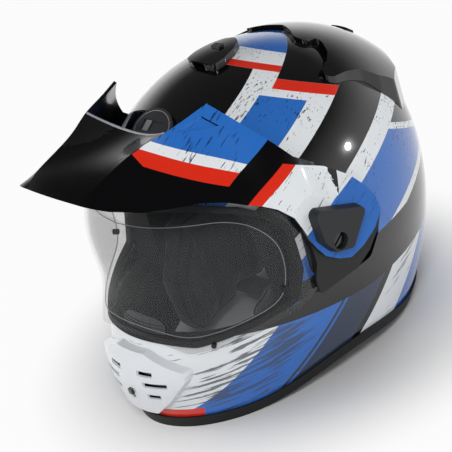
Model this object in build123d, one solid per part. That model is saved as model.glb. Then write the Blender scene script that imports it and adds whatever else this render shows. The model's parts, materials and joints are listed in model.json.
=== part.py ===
"""Dual sport helmet: outer shell, tilting peak, lifting face shield, vents and inner padding.

Frame: millimetres, +Z up, the front faces -Y and the wearer's left is +X. Z = 0 is the plane
that the rim rests on, and X = Y = 0 is the centre of the plan view.
"""
from build123d import *
import math
import os

# Outer shell form
shell_half_width = 126.0
rim_half_width = 100.0
brow_reach = 138.0
chin_reach = 166.0
rim_front_reach = 161.0
nape_reach = 171.0
rim_rear_reach = 122.0
shell_height = 265.0
equator_height = 127.0
chin_height = 45.0
dome_lean = 15.0
shell_wall = 4.0
cut_overrun = 60.0

# Rim line in the side view: front flat, raised sides, rear flat
rim_rise = 15.0
rim_front_flat_end = -125.0
rim_rise_place = -16.0
rim_rear_flat_start = 96.0
rim_web = 3.0
rim_lip_height = 11.0
rim_lip_out = 2.0
rim_lip_in = 3.0
seat_clearance = 0.3

# Hinge line of the face shield and the peak
pivot_y = -21.0
pivot_z = 133.0
hub_radius = 9.0
hinge_clearance = 0.1
layer_clearance = 0.4
pod_span = 80.0
pocket_depth_plane = 118.0
base_plate_thickness = 2.0
shield_arm_thickness = 2.4
cover_thickness = 2.3
peak_arm_thickness = 3.0
cap_thickness = 9.0

# Eye port, in side view
port_corner_radius = 9.0
gasket_width = 5.0
gasket_proud = 2.0

# Face shield and inner lens
shield_thickness = 2.2
shield_gap_low = 4.5
shield_gap_high = 9.5
shield_gap_low_height = 95.0
shield_gap_high_height = 165.0
shield_arm_radius = 19.0
lens_thickness = 1.0
lens_air = 1.0
pin_radius = 2.6

# Peak
peak_reach = 184.4
peak_wall = 2.8
flank_pocket_depth = 1.2

# Screws at the hinge line
coin_shank_radius = 4.0
coin_head_radius = 7.0
coin_head_height = 3.0
coin_slot_width = 1.8
coin_slot_depth = 1.4
cap_floor = 2.2
plate_screw_radius = 1.6

# Foam and padding
foam_thickness = 30.0
chin_foam_thickness = 20.0
pad_thickness = 9.0
cheek_thickness = 27.0
soft_clearance = 0.35

# Vents
chin_vent_depth = 8.0
chin_slot_height = 4.4
brow_vent_depth = 4.2
top_duct_depth = 6.5
top_duct_wall = 1.6
diffuser_depth = 8.0
diffuser_back = 12.0
diffuser_down = 8.0
slider_height = 1.8

# Straps
strap_width = 25.0
strap_thickness = 2.0
ring_wire = 2.2
ring_width = 32.0
ring_depth = 18.0
strap_anchor_z = 17.0
rivet_radius = 3.0
buckle_x = 30.0
buckle_z = 13.0
fold_gap = 0.5
snap_radius = 6.0

# Small radii and trims
base_plate_shares = [(-0.3, -0.33), (0.3, -0.35), (0.42, 0.1), (0.2, 0.42), (-0.27, 0.4)]
base_screw_shares = [(-0.2, -0.24), (0.22, 0.28)]
cover_corner_radius = 5.0
rib_count = 5
rib_height = 0.4
rib_length = 9.0
rib_width = 0.8
rib_lean = 32.0
rib_start_share = (0.655, 0.0)
rib_step_share = (0.03, 0.062)
cap_corner_radius = 6.0
cap_draft = 9.0
shield_corner_radius = 7.0
pin_shares = (-0.522, 0.423)
pin_proud = 0.8
catch_shares = (-0.93, 0.308)
catch_radius = 2.2
catch_proud = 1.4
lens_shares = [
    (-1.884, 0.4), (-1.17, 0.4), (-1.08, 0.35), (-0.98, 0.33), (-0.74, 0.352),
    (-0.56, 0.385),
    (-0.49, 0.45), (-0.48, 0.57), (-0.55, 0.65), (-0.66, 0.69), (-0.8, 0.7),
    (-1.884, 0.702),
]
peak_corner_radius = 5.0
brow_vent_share = -0.52
brow_vent_half_width = 24.0
brow_vent_half_length = 15.0
brow_slot_length = 26.0
brow_slot_width = 9.0
brow_slot_floor = 2.4
brow_slider_travel = 12.0
brow_slider_length = 7.0
top_duct_corner = 6.0
duct_wall = 2.2
duct_mouth_width = 15.0
duct_mouth_depth = 16.0
top_slider_share = 0.09
slider_width = 10.0
slider_length = 6.0
diffuser_corner = 7.0
outlet_place_share = 0.3
outlet_width = 30.0
outlet_depth = 26.0
rear_slider_share = 0.87
chin_foam_front = 100.0
chin_corner = 4.0
chin_slot_shares = [(0.09, 0.22, 0.227), (0.13, 0.32, 0.19), (0.14, 0.25, 0.147)]
chin_plate_shares = (0.125, 0.25)
chin_plate_share = 0.36
lever_share = 0.155
lever_size = 5.0
lever_width = 4.4
lever_travel = 5.0
lever_proud = 2.6
shutter_grow = 2.7
shutter_thickness = 1.2
face_shares = [
    (-1.884, -0.2), (-0.43, -0.2), (-0.43, 0.6), (-0.55, 0.715), (-0.7, 0.745), (-0.812, 0.755),
    (-1.884, 0.757),
]
crown_pad_shares = [
    (-0.72, 0.82), (-0.42, 0.66), (0.1, 0.56), (0.7, 0.52), (1.2, 0.6), (1.2, 1.3), (-1.2, 1.3),
]
cheek_shares = [
    (-0.42, 0.058), (-0.07, 0.058), (-0.03, 0.088), (0.2, 0.088), (0.3, 0.2), (0.26, 0.42), (-0.3, 0.42),
    (-0.4, 0.33), (-0.52, 0.27), (-0.52, 0.12),
]
cheek_corner = 5.0
crown_corner = 10.0
neck_roll_shares = [(0.36, 0.07), (0.9, 0.06), (0.9, 0.24), (0.4, 0.26)]
neck_roll_thickness = 14.0
neck_corner = 6.0
guard_shares = [(-0.28, 0.299), (0.28, 0.3), (0.2, 0.37), (-0.2, 0.371)]
guard_thickness = 1.6
strap_place_share = 0.07
strap_shares = [(0.0, 0.0), (0.25, 0.5), (0.6, 0.85), (1.0, 1.0)]
strap_tail = 45.0
ring_corner = 5.0
anchor_height = 40.0

os.makedirs("parts", exist_ok=True)

origin_shift = (peak_reach - nape_reach) / 2


def smooth(share):
    share = min(max(share, 0), 1)
    return share * share * (3 - 2 * share)


def reach(height, grow):
    """Half width, front reach, rear reach and centre shift of the section at a height."""
    if height <= equator_height:
        fall = (equator_height - height) / equator_height
        width = shell_half_width - (shell_half_width - rim_half_width) * fall ** 2.2
        rear = nape_reach - (nape_reach - rim_rear_reach) * fall ** 2.2
        if height >= chin_height:
            share = smooth((equator_height - height) / (equator_height - chin_height))
            front = brow_reach + (chin_reach - brow_reach) * share
        else:
            share = (chin_height - height) / chin_height
            front = chin_reach - (chin_reach - rim_front_reach) * share ** 2
        return width + grow, front + grow, rear + grow, 0
    rise = (height - equator_height) / (shell_height + grow - equator_height)
    ring_share = math.sqrt(max(1 - rise * rise, 0))
    sizes = (shell_half_width + grow, brow_reach + grow, nape_reach + grow)
    return *(size * ring_share for size in sizes), dome_lean * rise * rise


def half_width_at(y, height, grow):
    width, front, rear, lean = reach(height, grow)
    along = (y - lean) / (front if y < lean else rear)
    return width * math.sqrt(max(1 - along * along, 0))


ring_points = 16
low_rings = (0, 15, 30, 45, 60, 75, 90, 108, 127)
dome_angles = (12, 24, 36, 48, 58, 67, 75, 82, 87.5)


def ring(height, grow):
    width, front, rear, lean = reach(height, grow)
    points = []
    for step in range(ring_points):
        angle = 2 * math.pi * step / ring_points
        depth = front if math.sin(angle) < 0 else rear
        points.append(Vector(width * math.cos(angle), lean + depth * math.sin(angle), height))
    return Wire([Edge.make_spline(points, periodic=True)])


def form(grow, low=0):
    """Filled solid of the shell form, grown outwards; grow is a length or a rule of height."""
    rule = grow if callable(grow) else (lambda height: grow)
    top = rule(shell_height)
    levels = [low] + [level for level in low_rings if level > low]
    for angle in dome_angles:
        rise = (shell_height + top - equator_height) * math.sin(math.radians(angle))
        levels.append(equator_height + rise)
    return Solid.make_loft([ring(level, rule(level)) for level in levels])


def outline(points, radius=0):
    """Closed face through the points, its corners rounded up to a radius where the sides allow."""
    corners = [Vector(*point) for point in points]
    if not radius:
        return make_face(Polyline(*corners, close=True))
    radii = []
    for index, corner in enumerate(corners):
        before = corner - corners[index - 1]
        after = corners[(index + 1) % len(corners)] - corner
        turn = math.radians(before.get_angle(after))
        room = 0.45 * min(before.length, after.length) / math.tan(turn / 2)
        radii.append(min(radius, room))
    return make_face(FilletPolyline(*corners, radius=radii, close=True))


def across(face, low, high):
    """Prism along X of a face drawn as (y, z)."""
    return extrude(Pos(low, 0, 0) * (Plane.YZ * face), amount=high - low)


def upright(face, low, high):
    """Prism along Z of a face drawn as (x, y)."""
    return extrude(Pos(0, 0, low) * face, amount=high - low)


def fore_aft(face, front, rear):
    """Prism along Y of a face drawn as (x, z), from front to rear."""
    return extrude(Pos(0, rear, 0) * (Plane.XZ * face), amount=rear - front)


def length_place(share):
    """Place along Y: a share of the brow reach to the front, of the nape reach to the rear."""
    return share * (brow_reach if share < 0 else nape_reach)


def side_points(shares):
    return [(length_place(along), up * shell_height) for along, up in shares]


def pivot_points(shares):
    return [(pivot_y + along * pod_span, pivot_z + up * pod_span) for along, up in shares]


def top_points(shares):
    """Outline seen from above, given for the left half and mirrored to the right."""
    left = [(out * shell_half_width, length_place(along)) for out, along in shares]
    right = [(-x, y) for x, y in reversed(left) if x]
    return left + right


def mirrored(solid):
    return mirror(solid, about=Plane.YZ)


def save(node, *solids):
    shapes = []
    for solid in solids:
        shapes.extend(solid.solids())
    moved = [Pos(0, origin_shift, 0) * shape for shape in shapes]
    result = moved[0] if len(moved) == 1 else Compound(children=moved)
    export_step(result, f"parts/{node}.step")


def rod(radius, y, z, low, high):
    """Round bar along X."""
    return Pos(low, y, z) * extrude(Plane.YZ * Circle(radius), amount=high - low)


# Planes of the layers at the ears, from the shell outwards
plate_face = pocket_depth_plane + base_plate_thickness
arm_inner = plate_face + layer_clearance
arm_outer = arm_inner + shield_arm_thickness
cover_inner = arm_outer + layer_clearance
cover_outer = cover_inner + cover_thickness
peak_arm_inner = cover_outer + layer_clearance
peak_arm_outer = peak_arm_inner + peak_arm_thickness
cap_seat = peak_arm_outer + cap_floor
far = shell_half_width + cut_overrun
low_end = -cut_overrun
high_end = shell_height + cut_overrun


def above(rise):
    """Everything over the rim line raised by a height; the line arches up at the sides."""
    left = low_end + rim_front_flat_end - cut_overrun
    right = rim_rear_flat_start + nape_reach
    front_point = (rim_front_flat_end, rise)
    crest = (rim_rise_place, rim_rise + rise)
    rear_point = (rim_rear_flat_start, rise)
    edges = [
        Line((left, rise), front_point),
        Spline(front_point, crest, tangents=[(1, 0), (1, 0)]),
        Spline(crest, rear_point, tangents=[(1, 0), (1, 0)]),
        Line(rear_point, (right, rise)),
        Line((right, rise), (right, high_end)),
        Line((right, high_end), (left, high_end)),
        Line((left, high_end), (left, rise)),
    ]
    return across(make_face(edges), -far, far)


def slab(half_width):
    """Everything between two planes at the ears."""
    return Box(2 * half_width, 4 * nape_reach, 4 * shell_height)


def pair(solid):
    return [solid, mirrored(solid)]


# Outlines in the side view, as shares of the lengths that they follow
port_shares = [
    (-1.884, 0.325), (-1.196, 0.324), (-1.087, 0.313), (-0.993, 0.298), (-0.746, 0.321),
    (-0.449, 0.355), (-0.373, 0.449), (-0.359, 0.604), (-0.42, 0.657), (-0.543, 0.702),
    (-0.688, 0.732), (-0.812, 0.743), (-1.884, 0.745),
]
hump_shares = [(-1.884, 0.302), (-1.014, 0.3), (-1.087, 0.332), (-1.196, 0.381), (-1.884, 0.383)]
shield_front_shares = [
    (-1.884, 0.368), (-1.174, 0.366), (-1.109, 0.325), (-1.051, 0.289), (-0.92, 0.3),
    (-0.725, 0.315), (-0.457, 0.34),
]
shield_arm_shares = [(-0.331, -0.45), (0.0, -0.231), (0.02, 0.231), (-0.3, 0.36)]
shield_top_shares = [(-0.449, 0.702), (-0.565, 0.74), (-0.71, 0.77), (-0.906, 0.781), (-1.884, 0.783)]
pocket_shares = [
    (-0.562, -0.5), (0.438, -0.5), (0.625, -0.312), (0.719, -0.075), (0.637, 0.125),
    (0.544, 0.3), (0.4, 0.475), (0.263, 0.588), (-0.562, 0.588),
]
cover_shares = [
    (-0.325, -0.438), (-0.312, -0.494), (0.225, -0.501), (0.438, -0.41), (0.617, -0.251),
    (0.719, -0.075), (0.65, 0.125), (0.52, 0.23), (0.36, 0.3), (0.163, 0.32),
    (-0.05, 0.29), (-0.2, 0.19), (-0.26, 0.05), (-0.256, -0.15), (-0.325, -0.312),
]
peak_front_shares = [
    (-1.449, 1.132), (-1.449, 0.917), (-1.362, 0.913), (-1.239, 0.872), (-1.087, 0.834),
    (-0.92, 0.811), (-0.783, 0.792), (-0.667, 0.766), (-0.572, 0.734), (-0.5, 0.713),
]
peak_pod_shares = [
    (-0.487, 0.613), (-0.388, 0.475), (-0.331, 0.312), (-0.275, 0.125), (-0.235, 0.025),
    (-0.156, -0.116), (0.004, -0.245), (0.156, -0.319), (0.348, -0.287), (0.546, -0.197),
    (0.686, -0.06), (0.665, 0.136), (0.575, 0.309), (0.426, 0.514), (0.263, 0.673),
]
peak_ear_shares = [
    (-0.094, 0.753), (-0.188, 0.796), (-0.246, 0.853), (-0.312, 0.917), (-0.391, 1.0), (-0.391, 1.132),
]
cap_shares = [(-0.231, 0.494), (0.469, 0.169), (0.144, -0.181), (-0.087, -0.106), (-0.212, 0.087)]

# Peak sections from front to rear: place along Y, centre height, then (x, z) down the flank
peak_section_shares = [
    (-1.391, 0.898, [(0.27, 0.891), (0.381, 0.868), (0.492, 0.838), (0.603, 0.8)]),
    (-1.239, 0.923, [(0.302, 0.915), (0.413, 0.891), (0.524, 0.853), (0.667, 0.785)]),
    (-1.087, 0.934, [(0.317, 0.936), (0.46, 0.883), (0.603, 0.826), (0.746, 0.755)]),
    (-0.906, 0.934, [(0.333, 0.957), (0.524, 0.879), (0.698, 0.804), (0.825, 0.725)]),
    (-0.667, 0.932, [(0.429, 0.979), (0.651, 0.86), (0.817, 0.758), (0.98, 0.5)]),
    (-0.507, 0.932, [(0.464, 0.991), (0.698, 0.864), (0.905, 0.717), (1.03, 0.42)]),
    (-0.362, 0.932, [(0.5, 1.004), (0.75, 0.879), (0.96, 0.725), (1.06, 0.36)]),
    (-0.181, 0.932, [(0.524, 1.004), (0.84, 0.85), (1.015, 0.68), (1.07, 0.34)]),
    (0.0, 0.932, [(0.556, 1.004), (0.87, 0.83), (1.03, 0.66), (1.07, 0.34)]),
    (0.246, 0.932, [(0.556, 1.004), (0.87, 0.83), (1.03, 0.66), (1.07, 0.34)]),
]
notch_shares = [(0.413, -0.674), (0.24, -0.65), (0.0, -0.638)]
notch_side_shares = [(0.476, -0.391), (0.476, 0.3)]
flank_pocket_shares = [(0.505, -0.464), (0.6, -0.422), (0.455, -0.643)]

# Outlines from above and from the front
top_duct_shares = [(0.07, -0.06), (0.145, -0.05), (0.155, 0.03), (0.125, 0.11), (0.07, 0.18), (0.0, 0.208)]
diffuser_shares = [
    (0.0, 0.51), (0.12, 0.475), (0.23, 0.43), (0.31, 0.44), (0.31, 0.515), (0.364, 0.512),
    (0.458, 0.475), (0.52, 0.42), (0.566, 0.35), (0.615, 0.33), (0.635, 0.37), (0.622, 0.45),
    (0.615, 0.55), (0.645, 0.63), (0.635, 0.73), (0.5, 0.84), (0.278, 0.915), (0.0, 0.947),
]
chin_vent_shares = [
    (-0.167, 0.075), (0.167, 0.076), (0.294, 0.125), (0.436, 0.2), (0.45, 0.232),
    (0.143, 0.29), (-0.143, 0.291), (-0.45, 0.232), (-0.436, 0.2), (-0.294, 0.125),
]


def shield_gap(height):
    share = (height - shield_gap_low_height) / (shield_gap_high_height - shield_gap_low_height)
    return shield_gap_low + (shield_gap_high - shield_gap_low) * smooth(share)


def hinge_region(widen=0):
    face = outline(pivot_points(pocket_shares), port_corner_radius)
    return offset(face, widen) if widen else face


def ear_pockets(plane, widen=0):
    """What lies outside a plane at each ear, within the hinge region."""
    return pair(across(hinge_region(widen), plane, far))


def port_face(widen=0):
    face = outline(side_points(port_shares), port_corner_radius)
    return offset(face, widen) if widen else face


def layer(outer, inner, region):
    """What a region holds between two grown forms."""
    return (form(outer) & region) - form(inner, -rim_web)


def make_shell():
    outer = form(0)
    for pocket in ear_pockets(pocket_depth_plane):
        outer -= pocket
    inner = form(-shell_wall, -rim_web)
    for pocket in ear_pockets(pocket_depth_plane - shell_wall, shell_wall):
        inner -= pocket
    shell = outer - inner - across(port_face(), -far, far)
    shell &= above(rim_web)
    return shell - rod(coin_shank_radius, pivot_y, pivot_z, -far, far)


def make_rim_trim():
    band = layer(rim_lip_out, -shell_wall - rim_lip_in, above(0) - above(rim_lip_height))
    return band - layer(seat_clearance, -shell_wall - seat_clearance, above(rim_web))


def make_gasket():
    sill_hump = outline(side_points(hump_shares))
    frame = port_face() - (port_face(-gasket_width) - sill_hump)
    region = across(frame, -far, far) & slab(arm_inner - layer_clearance)
    return layer(gasket_proud, -shell_wall - seat_clearance, region)


def make_base_plate():
    plate = across(outline(pivot_points(base_plate_shares), hub_radius), pocket_depth_plane, plate_face)
    plate += rod(hub_radius, pivot_y, pivot_z, pocket_depth_plane, cover_outer)
    plate -= rod(coin_shank_radius, pivot_y, pivot_z, pocket_depth_plane, far)
    for y, z in pivot_points(base_screw_shares):
        plate -= rod(plate_screw_radius, y, z, pocket_depth_plane, plate_face)
    return plate


def make_base_screws():
    screws = []
    for y, z in pivot_points(base_screw_shares):
        screws.append(rod(plate_screw_radius, y, z, pocket_depth_plane, plate_face))
    return screws


def make_side_cover():
    cover = across(outline(pivot_points(cover_shares), cover_corner_radius), cover_inner, cover_outer)
    cover -= rod(hub_radius + hinge_clearance, pivot_y, pivot_z, cover_inner, cover_outer)
    for number in range(rib_count):
        y, z = pivot_points([(rib_start_share[0] - number * rib_step_share[0],
                              rib_start_share[1] - number * rib_step_share[1])])[0]
        rib = Pos(cover_outer, y, z) * Rot(rib_lean, 0, 0) * Box(rib_height, rib_length, rib_width)
        cover += rib
    return cover


def make_coin_screw():
    screw = rod(coin_shank_radius, pivot_y, pivot_z, pocket_depth_plane - shell_wall, cap_seat)
    screw += rod(coin_head_radius, pivot_y, pivot_z, cap_seat, cap_seat + coin_head_height)
    top = cap_seat + coin_head_height - coin_slot_depth / 2
    slot = Pos(top, pivot_y, pivot_z) * Rot(rib_lean, 0, 0)
    return screw - slot * Box(coin_slot_depth, 2 * coin_head_radius, coin_slot_width)


def make_peak_cap():
    face = outline(pivot_points(cap_shares), cap_corner_radius)
    blank = Pos(peak_arm_outer, 0, 0) * (Plane.YZ * face)
    cap = extrude(blank, amount=cap_thickness, taper=cap_draft)
    cap -= rod(coin_shank_radius + hinge_clearance, pivot_y, pivot_z, peak_arm_outer, cap_seat)
    return cap - rod(coin_head_radius + layer_clearance, pivot_y, pivot_z, cap_seat, far)


def shield_face():
    front = side_points(shield_front_shares)
    arm = pivot_points(shield_arm_shares)
    top = side_points(shield_top_shares)
    hub = Pos(pivot_y, pivot_z) * Circle(shield_arm_radius)
    return outline(front + arm + top, shield_corner_radius) + hub


def pin_at(along_share, height_share, grow, radius, low, high):
    """Round pin square to the form at a side view place, from low to high outside the form."""
    y = length_place(along_share)
    height = height_share * shell_height
    width, front, rear, lean = reach(height, grow)
    x = half_width_at(y, height, grow)
    turn = math.degrees(math.atan2((y - lean) / front ** 2, x / width ** 2))
    plane = Plane(origin=(x, y, height), z_dir=Vector(1, 0, 0).rotate(Axis.Z, turn))
    return plane * Pos(0, 0, (low + high) / 2) * Cylinder(radius, high - low)


def lens_pins():
    pin = pin_at(pin_shares[0], pin_shares[1], shield_gap(pin_shares[1] * shell_height), pin_radius,
                 -lens_air - lens_thickness, shield_thickness + pin_proud)
    return pair(pin)


def catch_pin():
    place = catch_shares
    gap = shield_gap(place[1] * shell_height)
    return pin_at(place[0], place[1], gap, catch_radius, 0, shield_thickness + catch_proud)


def make_shield():
    shield = form(lambda height: shield_gap(height) + shield_thickness)
    shield &= across(shield_face(), -arm_outer, arm_outer)
    shield -= form(shield_gap, -rim_web) & slab(arm_inner)
    shield -= rod(hub_radius + hinge_clearance, pivot_y, pivot_z, -far, far)
    for pin in lens_pins() + [catch_pin()]:
        shield -= pin
    return shield


def make_lens():
    outer = form(lambda height: shield_gap(height) - lens_air)
    inner = form(lambda height: shield_gap(height) - lens_air - lens_thickness, -rim_web)
    lens = (outer & across(outline(side_points(lens_shares), shield_corner_radius), -far, far)) - inner
    for pin in lens_pins():
        lens -= pin
    return lens


def peak_section(section, inset):
    """Closed section of the peak across X, its skin moved inwards by an inset."""
    along, centre_share, flank_shares = section
    y = length_place(along)
    flank = [Vector(out * shell_half_width, 0, up * shell_height) for out, up in flank_shares]
    inner = []
    for index, point in enumerate(flank):
        after = flank[min(index + 1, len(flank) - 1)]
        before = flank[max(index - 1, 0)]
        run = (after - before).normalized()
        inner.append(point + Vector(run.Z, 0, -run.X) * inset)
    left = [Vector(point.X, y, point.Z) for point in inner]
    right = [Vector(-point.X, y, point.Z) for point in inner]
    centre = Vector(0, y, centre_share * shell_height - inset)
    edges = [
        Edge.make_spline([right[0], centre, left[0]]),
        Edge.make_spline(left),
        Edge.make_line(left[-1], right[-1]),
        Edge.make_spline(right[::-1]),
    ]
    return Wire(edges)


def peak_form(inset):
    return Solid.make_loft([peak_section(section, inset) for section in peak_section_shares])


def make_peak():
    outer = peak_form(0) & slab(peak_arm_outer)
    inner = peak_form(peak_wall) & slab(peak_arm_inner)
    points = side_points(peak_front_shares) + pivot_points(peak_pod_shares) + side_points(peak_ear_shares)
    peak = (outer - inner) & across(outline(points, peak_corner_radius), -far, far)
    skin = outer - peak_form(flank_pocket_depth)
    corners = [(out * shell_half_width, length_place(along)) for out, along in flank_pocket_shares]
    for pocket in pair(upright(outline(corners), pivot_z, high_end)):
        peak -= skin & pocket
    notch = top_points(notch_side_shares[::-1] + notch_shares)
    peak -= upright(outline(notch), 0, high_end)
    return peak - rod(coin_shank_radius + hinge_clearance, pivot_y, pivot_z, -far, far)


def block(low_corner, high_corner):
    """Box between two corners."""
    low = Vector(*low_corner)
    high = Vector(*high_corner)
    size = high - low
    return Pos(low + size / 2) * Box(size.X, size.Y, size.Z)


def make_brow_vent():
    oval = Pos(0, length_place(brow_vent_share)) * Ellipse(brow_vent_half_width, brow_vent_half_length)
    vent = layer(brow_vent_depth, seat_clearance, upright(oval, pivot_z, high_end))
    groove = across_block(0, length_place(brow_vent_share), brow_slot_length, brow_slot_width)
    return vent - layer(brow_vent_depth + slider_height, brow_slot_floor, groove)


def across_block(x, y, length, width):
    """Upright box over the dome, centred on a place in the plan view."""
    return block((x - length / 2, y - width / 2, pivot_z), (x + length / 2, y + width / 2, high_end))


def make_brow_slider():
    x = -brow_slider_travel / 2
    width = brow_slot_width - 2 * soft_clearance
    region = across_block(x, length_place(brow_vent_share), brow_slider_length, width)
    return layer(brow_vent_depth - soft_clearance, brow_slot_floor + 2 * soft_clearance, region)


def make_top_duct():
    plan = outline(top_points(top_duct_shares), top_duct_corner)
    duct = layer(top_duct_depth, seat_clearance, upright(plan, pivot_z, high_end))
    front = length_place(top_duct_shares[0][1])
    mouth = across_block(0, front, duct_mouth_width, 2 * duct_mouth_depth)
    return duct - layer(top_duct_depth - top_duct_wall, 0, mouth)


def make_top_slider():
    region = across_block(0, length_place(top_slider_share), slider_width, slider_length)
    low = top_duct_depth + soft_clearance
    return layer(low + slider_height, low, region)


def diffuser_form(grow):
    """The form set back and down, so that the diffuser is thin in front and thick behind."""
    return Pos(0, diffuser_back, -diffuser_down) * form(grow)


def make_diffuser():
    plan = outline(top_points(diffuser_shares), diffuser_corner)
    body = diffuser_form(diffuser_depth) & upright(plan, pivot_z, high_end)
    body -= form(seat_clearance, -rim_web)
    rear = length_place(diffuser_shares[-1][1])
    outlet = across_block(outlet_place_share * shell_half_width, rear, outlet_width, 2 * outlet_depth)
    channel = diffuser_form(diffuser_depth - duct_wall) & outlet
    channel -= form(seat_clearance + duct_wall, -rim_web)
    return body - channel - mirrored(channel)


def make_rear_slider():
    region = across_block(0, length_place(rear_slider_share), 2 * slider_width, slider_length)
    low = diffuser_depth + soft_clearance
    return (diffuser_form(low + slider_height) & region) - diffuser_form(low)


def chin_region(shrink=0):
    points = [(out * shell_half_width, up * shell_height) for out, up in chin_vent_shares]
    face = outline(points, chin_corner)
    if shrink:
        face = offset(face, -shrink)
    return fore_aft(face, low_end * 4, -chin_foam_front)


def chin_slots(height_extra):
    """Louvre openings, three on each side of the centre line."""
    slots = []
    for low, high, level in chin_slot_shares:
        x_low, x_high = low * shell_half_width, high * shell_half_width
        z = level * shell_height
        half = chin_slot_height / 2 + height_extra
        slot = block((x_low, low_end * 4, z - half), (x_high, 0, z + half))
        slots += pair(slot)
    return slots


def make_chin_vent():
    vent = layer(chin_vent_depth, seat_clearance, chin_region())
    vent -= layer(chin_vent_depth - duct_wall, 0, chin_region(duct_wall))
    for slot in chin_slots(0):
        vent -= slot
    level = lever_share * shell_height
    reach_down = level - lever_size / 2 - lever_travel - soft_clearance
    reach_up = level + lever_size / 2 + soft_clearance
    half = lever_width / 2 + soft_clearance
    return vent - block((-half, low_end * 4, reach_down), (half, 0, reach_up))


def make_chin_shutter():
    level = lever_share * shell_height
    plate_low = chin_plate_shares[0] * shell_height
    plate_high = chin_plate_shares[1] * shell_height
    half = chin_plate_share * shell_half_width
    window = block((-half, low_end * 4, plate_low), (half, 0, plate_high))
    room = chin_region(duct_wall + 2 * soft_clearance)
    window = window & room & (Pos(0, 0, lever_travel) * room)
    plate = layer(shutter_grow + shutter_thickness, shutter_grow, window)
    for slot in chin_slots(soft_clearance):
        plate -= slot
    grip = block((-lever_width / 2, low_end * 4, level - lever_size / 2),
                 (lever_width / 2, 0, level + lever_size / 2))
    return plate + layer(chin_vent_depth + lever_proud, shutter_grow, grip)


foam_outer = -shell_wall - seat_clearance
anchor_grow = foam_outer - rim_lip_in - seat_clearance
foam_inner = -shell_wall - foam_thickness
pad_outer = foam_inner - soft_clearance


def make_foam():
    foam = form(foam_outer) - form(foam_inner, -rim_web)
    wall = shell_wall + seat_clearance
    for pocket in ear_pockets(pocket_depth_plane - wall, wall):
        foam -= pocket
    points = [(length_place(along), up * shell_height) for along, up in face_shares]
    foam -= across(outline(points, port_corner_radius), -far, far)
    pocket_inner = anchor_grow - strap_thickness - soft_clearance
    for pocket in pair(layer(0, pocket_inner, anchor_block(soft_clearance))):
        foam -= pocket
    return foam & above(rim_lip_height + soft_clearance)


def make_chin_foam():
    foam = form(foam_outer) - form(foam_outer - chin_foam_thickness, -rim_web)
    rear = length_place(face_shares[1][0]) - soft_clearance
    top = port_shares[3][1] * shell_height - soft_clearance
    foam &= block((-far, low_end * 4, 0), (far, rear, top))
    return foam & above(rim_lip_height + soft_clearance)


def make_crown_pad():
    points = [(length_place(along), up * shell_height) for along, up in crown_pad_shares]
    return layer(pad_outer, pad_outer - pad_thickness, across(outline(points, crown_corner), -far, far))


def make_cheek_pad():
    points = [(length_place(along), up * shell_height) for along, up in cheek_shares]
    return layer(pad_outer, pad_outer - cheek_thickness, across(outline(points, cheek_corner), 0, far))


def make_neck_roll():
    points = [(length_place(along), up * shell_height) for along, up in neck_roll_shares]
    region = across(outline(points, neck_corner), -far, far)
    return layer(pad_outer, pad_outer - neck_roll_thickness, region)


def make_breath_guard():
    points = [(out * shell_half_width, up * shell_height) for out, up in guard_shares]
    region = fore_aft(outline(points, chin_corner), low_end * 4, -chin_foam_front)
    return layer(foam_outer - soft_clearance, foam_outer - soft_clearance - guard_thickness, region)


def webbing(points):
    """Flat strap along a smooth line given as (x, z) points, its width along Y."""
    line = Spline(*points)
    count = len(points) * 3
    upper = []
    lower = []
    for step in range(count + 1):
        place = line @ (step / count)
        run = line % (step / count)
        side = Vector(-run.Y, run.X) * (strap_thickness / 2)
        upper.append(place + side)
        lower.append(place - side)
    edges = [Spline(*upper), Line(upper[-1], lower[-1]), Spline(*lower[::-1]), Line(lower[0], upper[0])]
    face = make_face(edges)
    front = length_place(strap_place_share) - strap_width / 2
    return fore_aft(face, front, front + strap_width)


def strap_points(shares, start_x, start_z, end_x, end_z):
    """Places between two ends, given as shares of the way across and of the drop."""
    points = []
    for across_share, drop_share in shares:
        x = start_x + (end_x - start_x) * across_share
        points.append((x, start_z + (end_z - start_z) * drop_share))
    return points


bar_radius = ring_wire / 2
ring_lift = bar_radius + fold_gap / 4
fold_radius = ring_lift + bar_radius + fold_gap
strap_run_z = buckle_z + fold_radius + strap_thickness / 2
strap_return_z = buckle_z - fold_radius - strap_thickness / 2
strap_start_z = strap_anchor_z + strap_thickness


def strap_start():
    """Half the distance between the strap ends, just inside the anchor plates."""
    plate_inner = anchor_grow - strap_thickness
    return half_width_at(length_place(strap_place_share), strap_anchor_z, plate_inner) - soft_clearance


def make_long_strap():
    """Strap from the right anchor, round both rings and back under itself."""
    bow_x = buckle_x - ring_depth
    upper = webbing(strap_points(strap_shares, -strap_start(), strap_start_z, bow_x, strap_run_z))
    front = length_place(strap_place_share) - strap_width / 2
    fold_outer = fold_radius + strap_thickness
    half = Pos(fold_outer / 2, 0) * Rectangle(fold_outer, 4 * fold_outer)
    bend = Pos(bow_x, buckle_z) * ((Circle(fold_outer) - Circle(fold_radius)) & half)
    tail = block((bow_x - strap_tail, front, strap_return_z - strap_thickness / 2),
                 (bow_x, front + strap_width, strap_return_z + strap_thickness / 2))
    return upper + fore_aft(bend, front, front + strap_width) + tail


def make_short_strap():
    """Strap from the left anchor to a sewn loop round the straight bars of the rings."""
    end = buckle_x + fold_radius + strap_thickness / 2
    strap = webbing(strap_points(strap_shares, strap_start(), strap_start_z, end, buckle_z))
    front = length_place(strap_place_share) - strap_width / 2
    bar = Pos(buckle_x, buckle_z) * Circle(fold_radius)
    loop = Pos(buckle_x, buckle_z) * (Circle(fold_radius + strap_thickness) - Circle(fold_radius))
    strap -= fore_aft(bar, front, front + strap_width)
    return strap + fore_aft(loop, front, front + strap_width)


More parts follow.
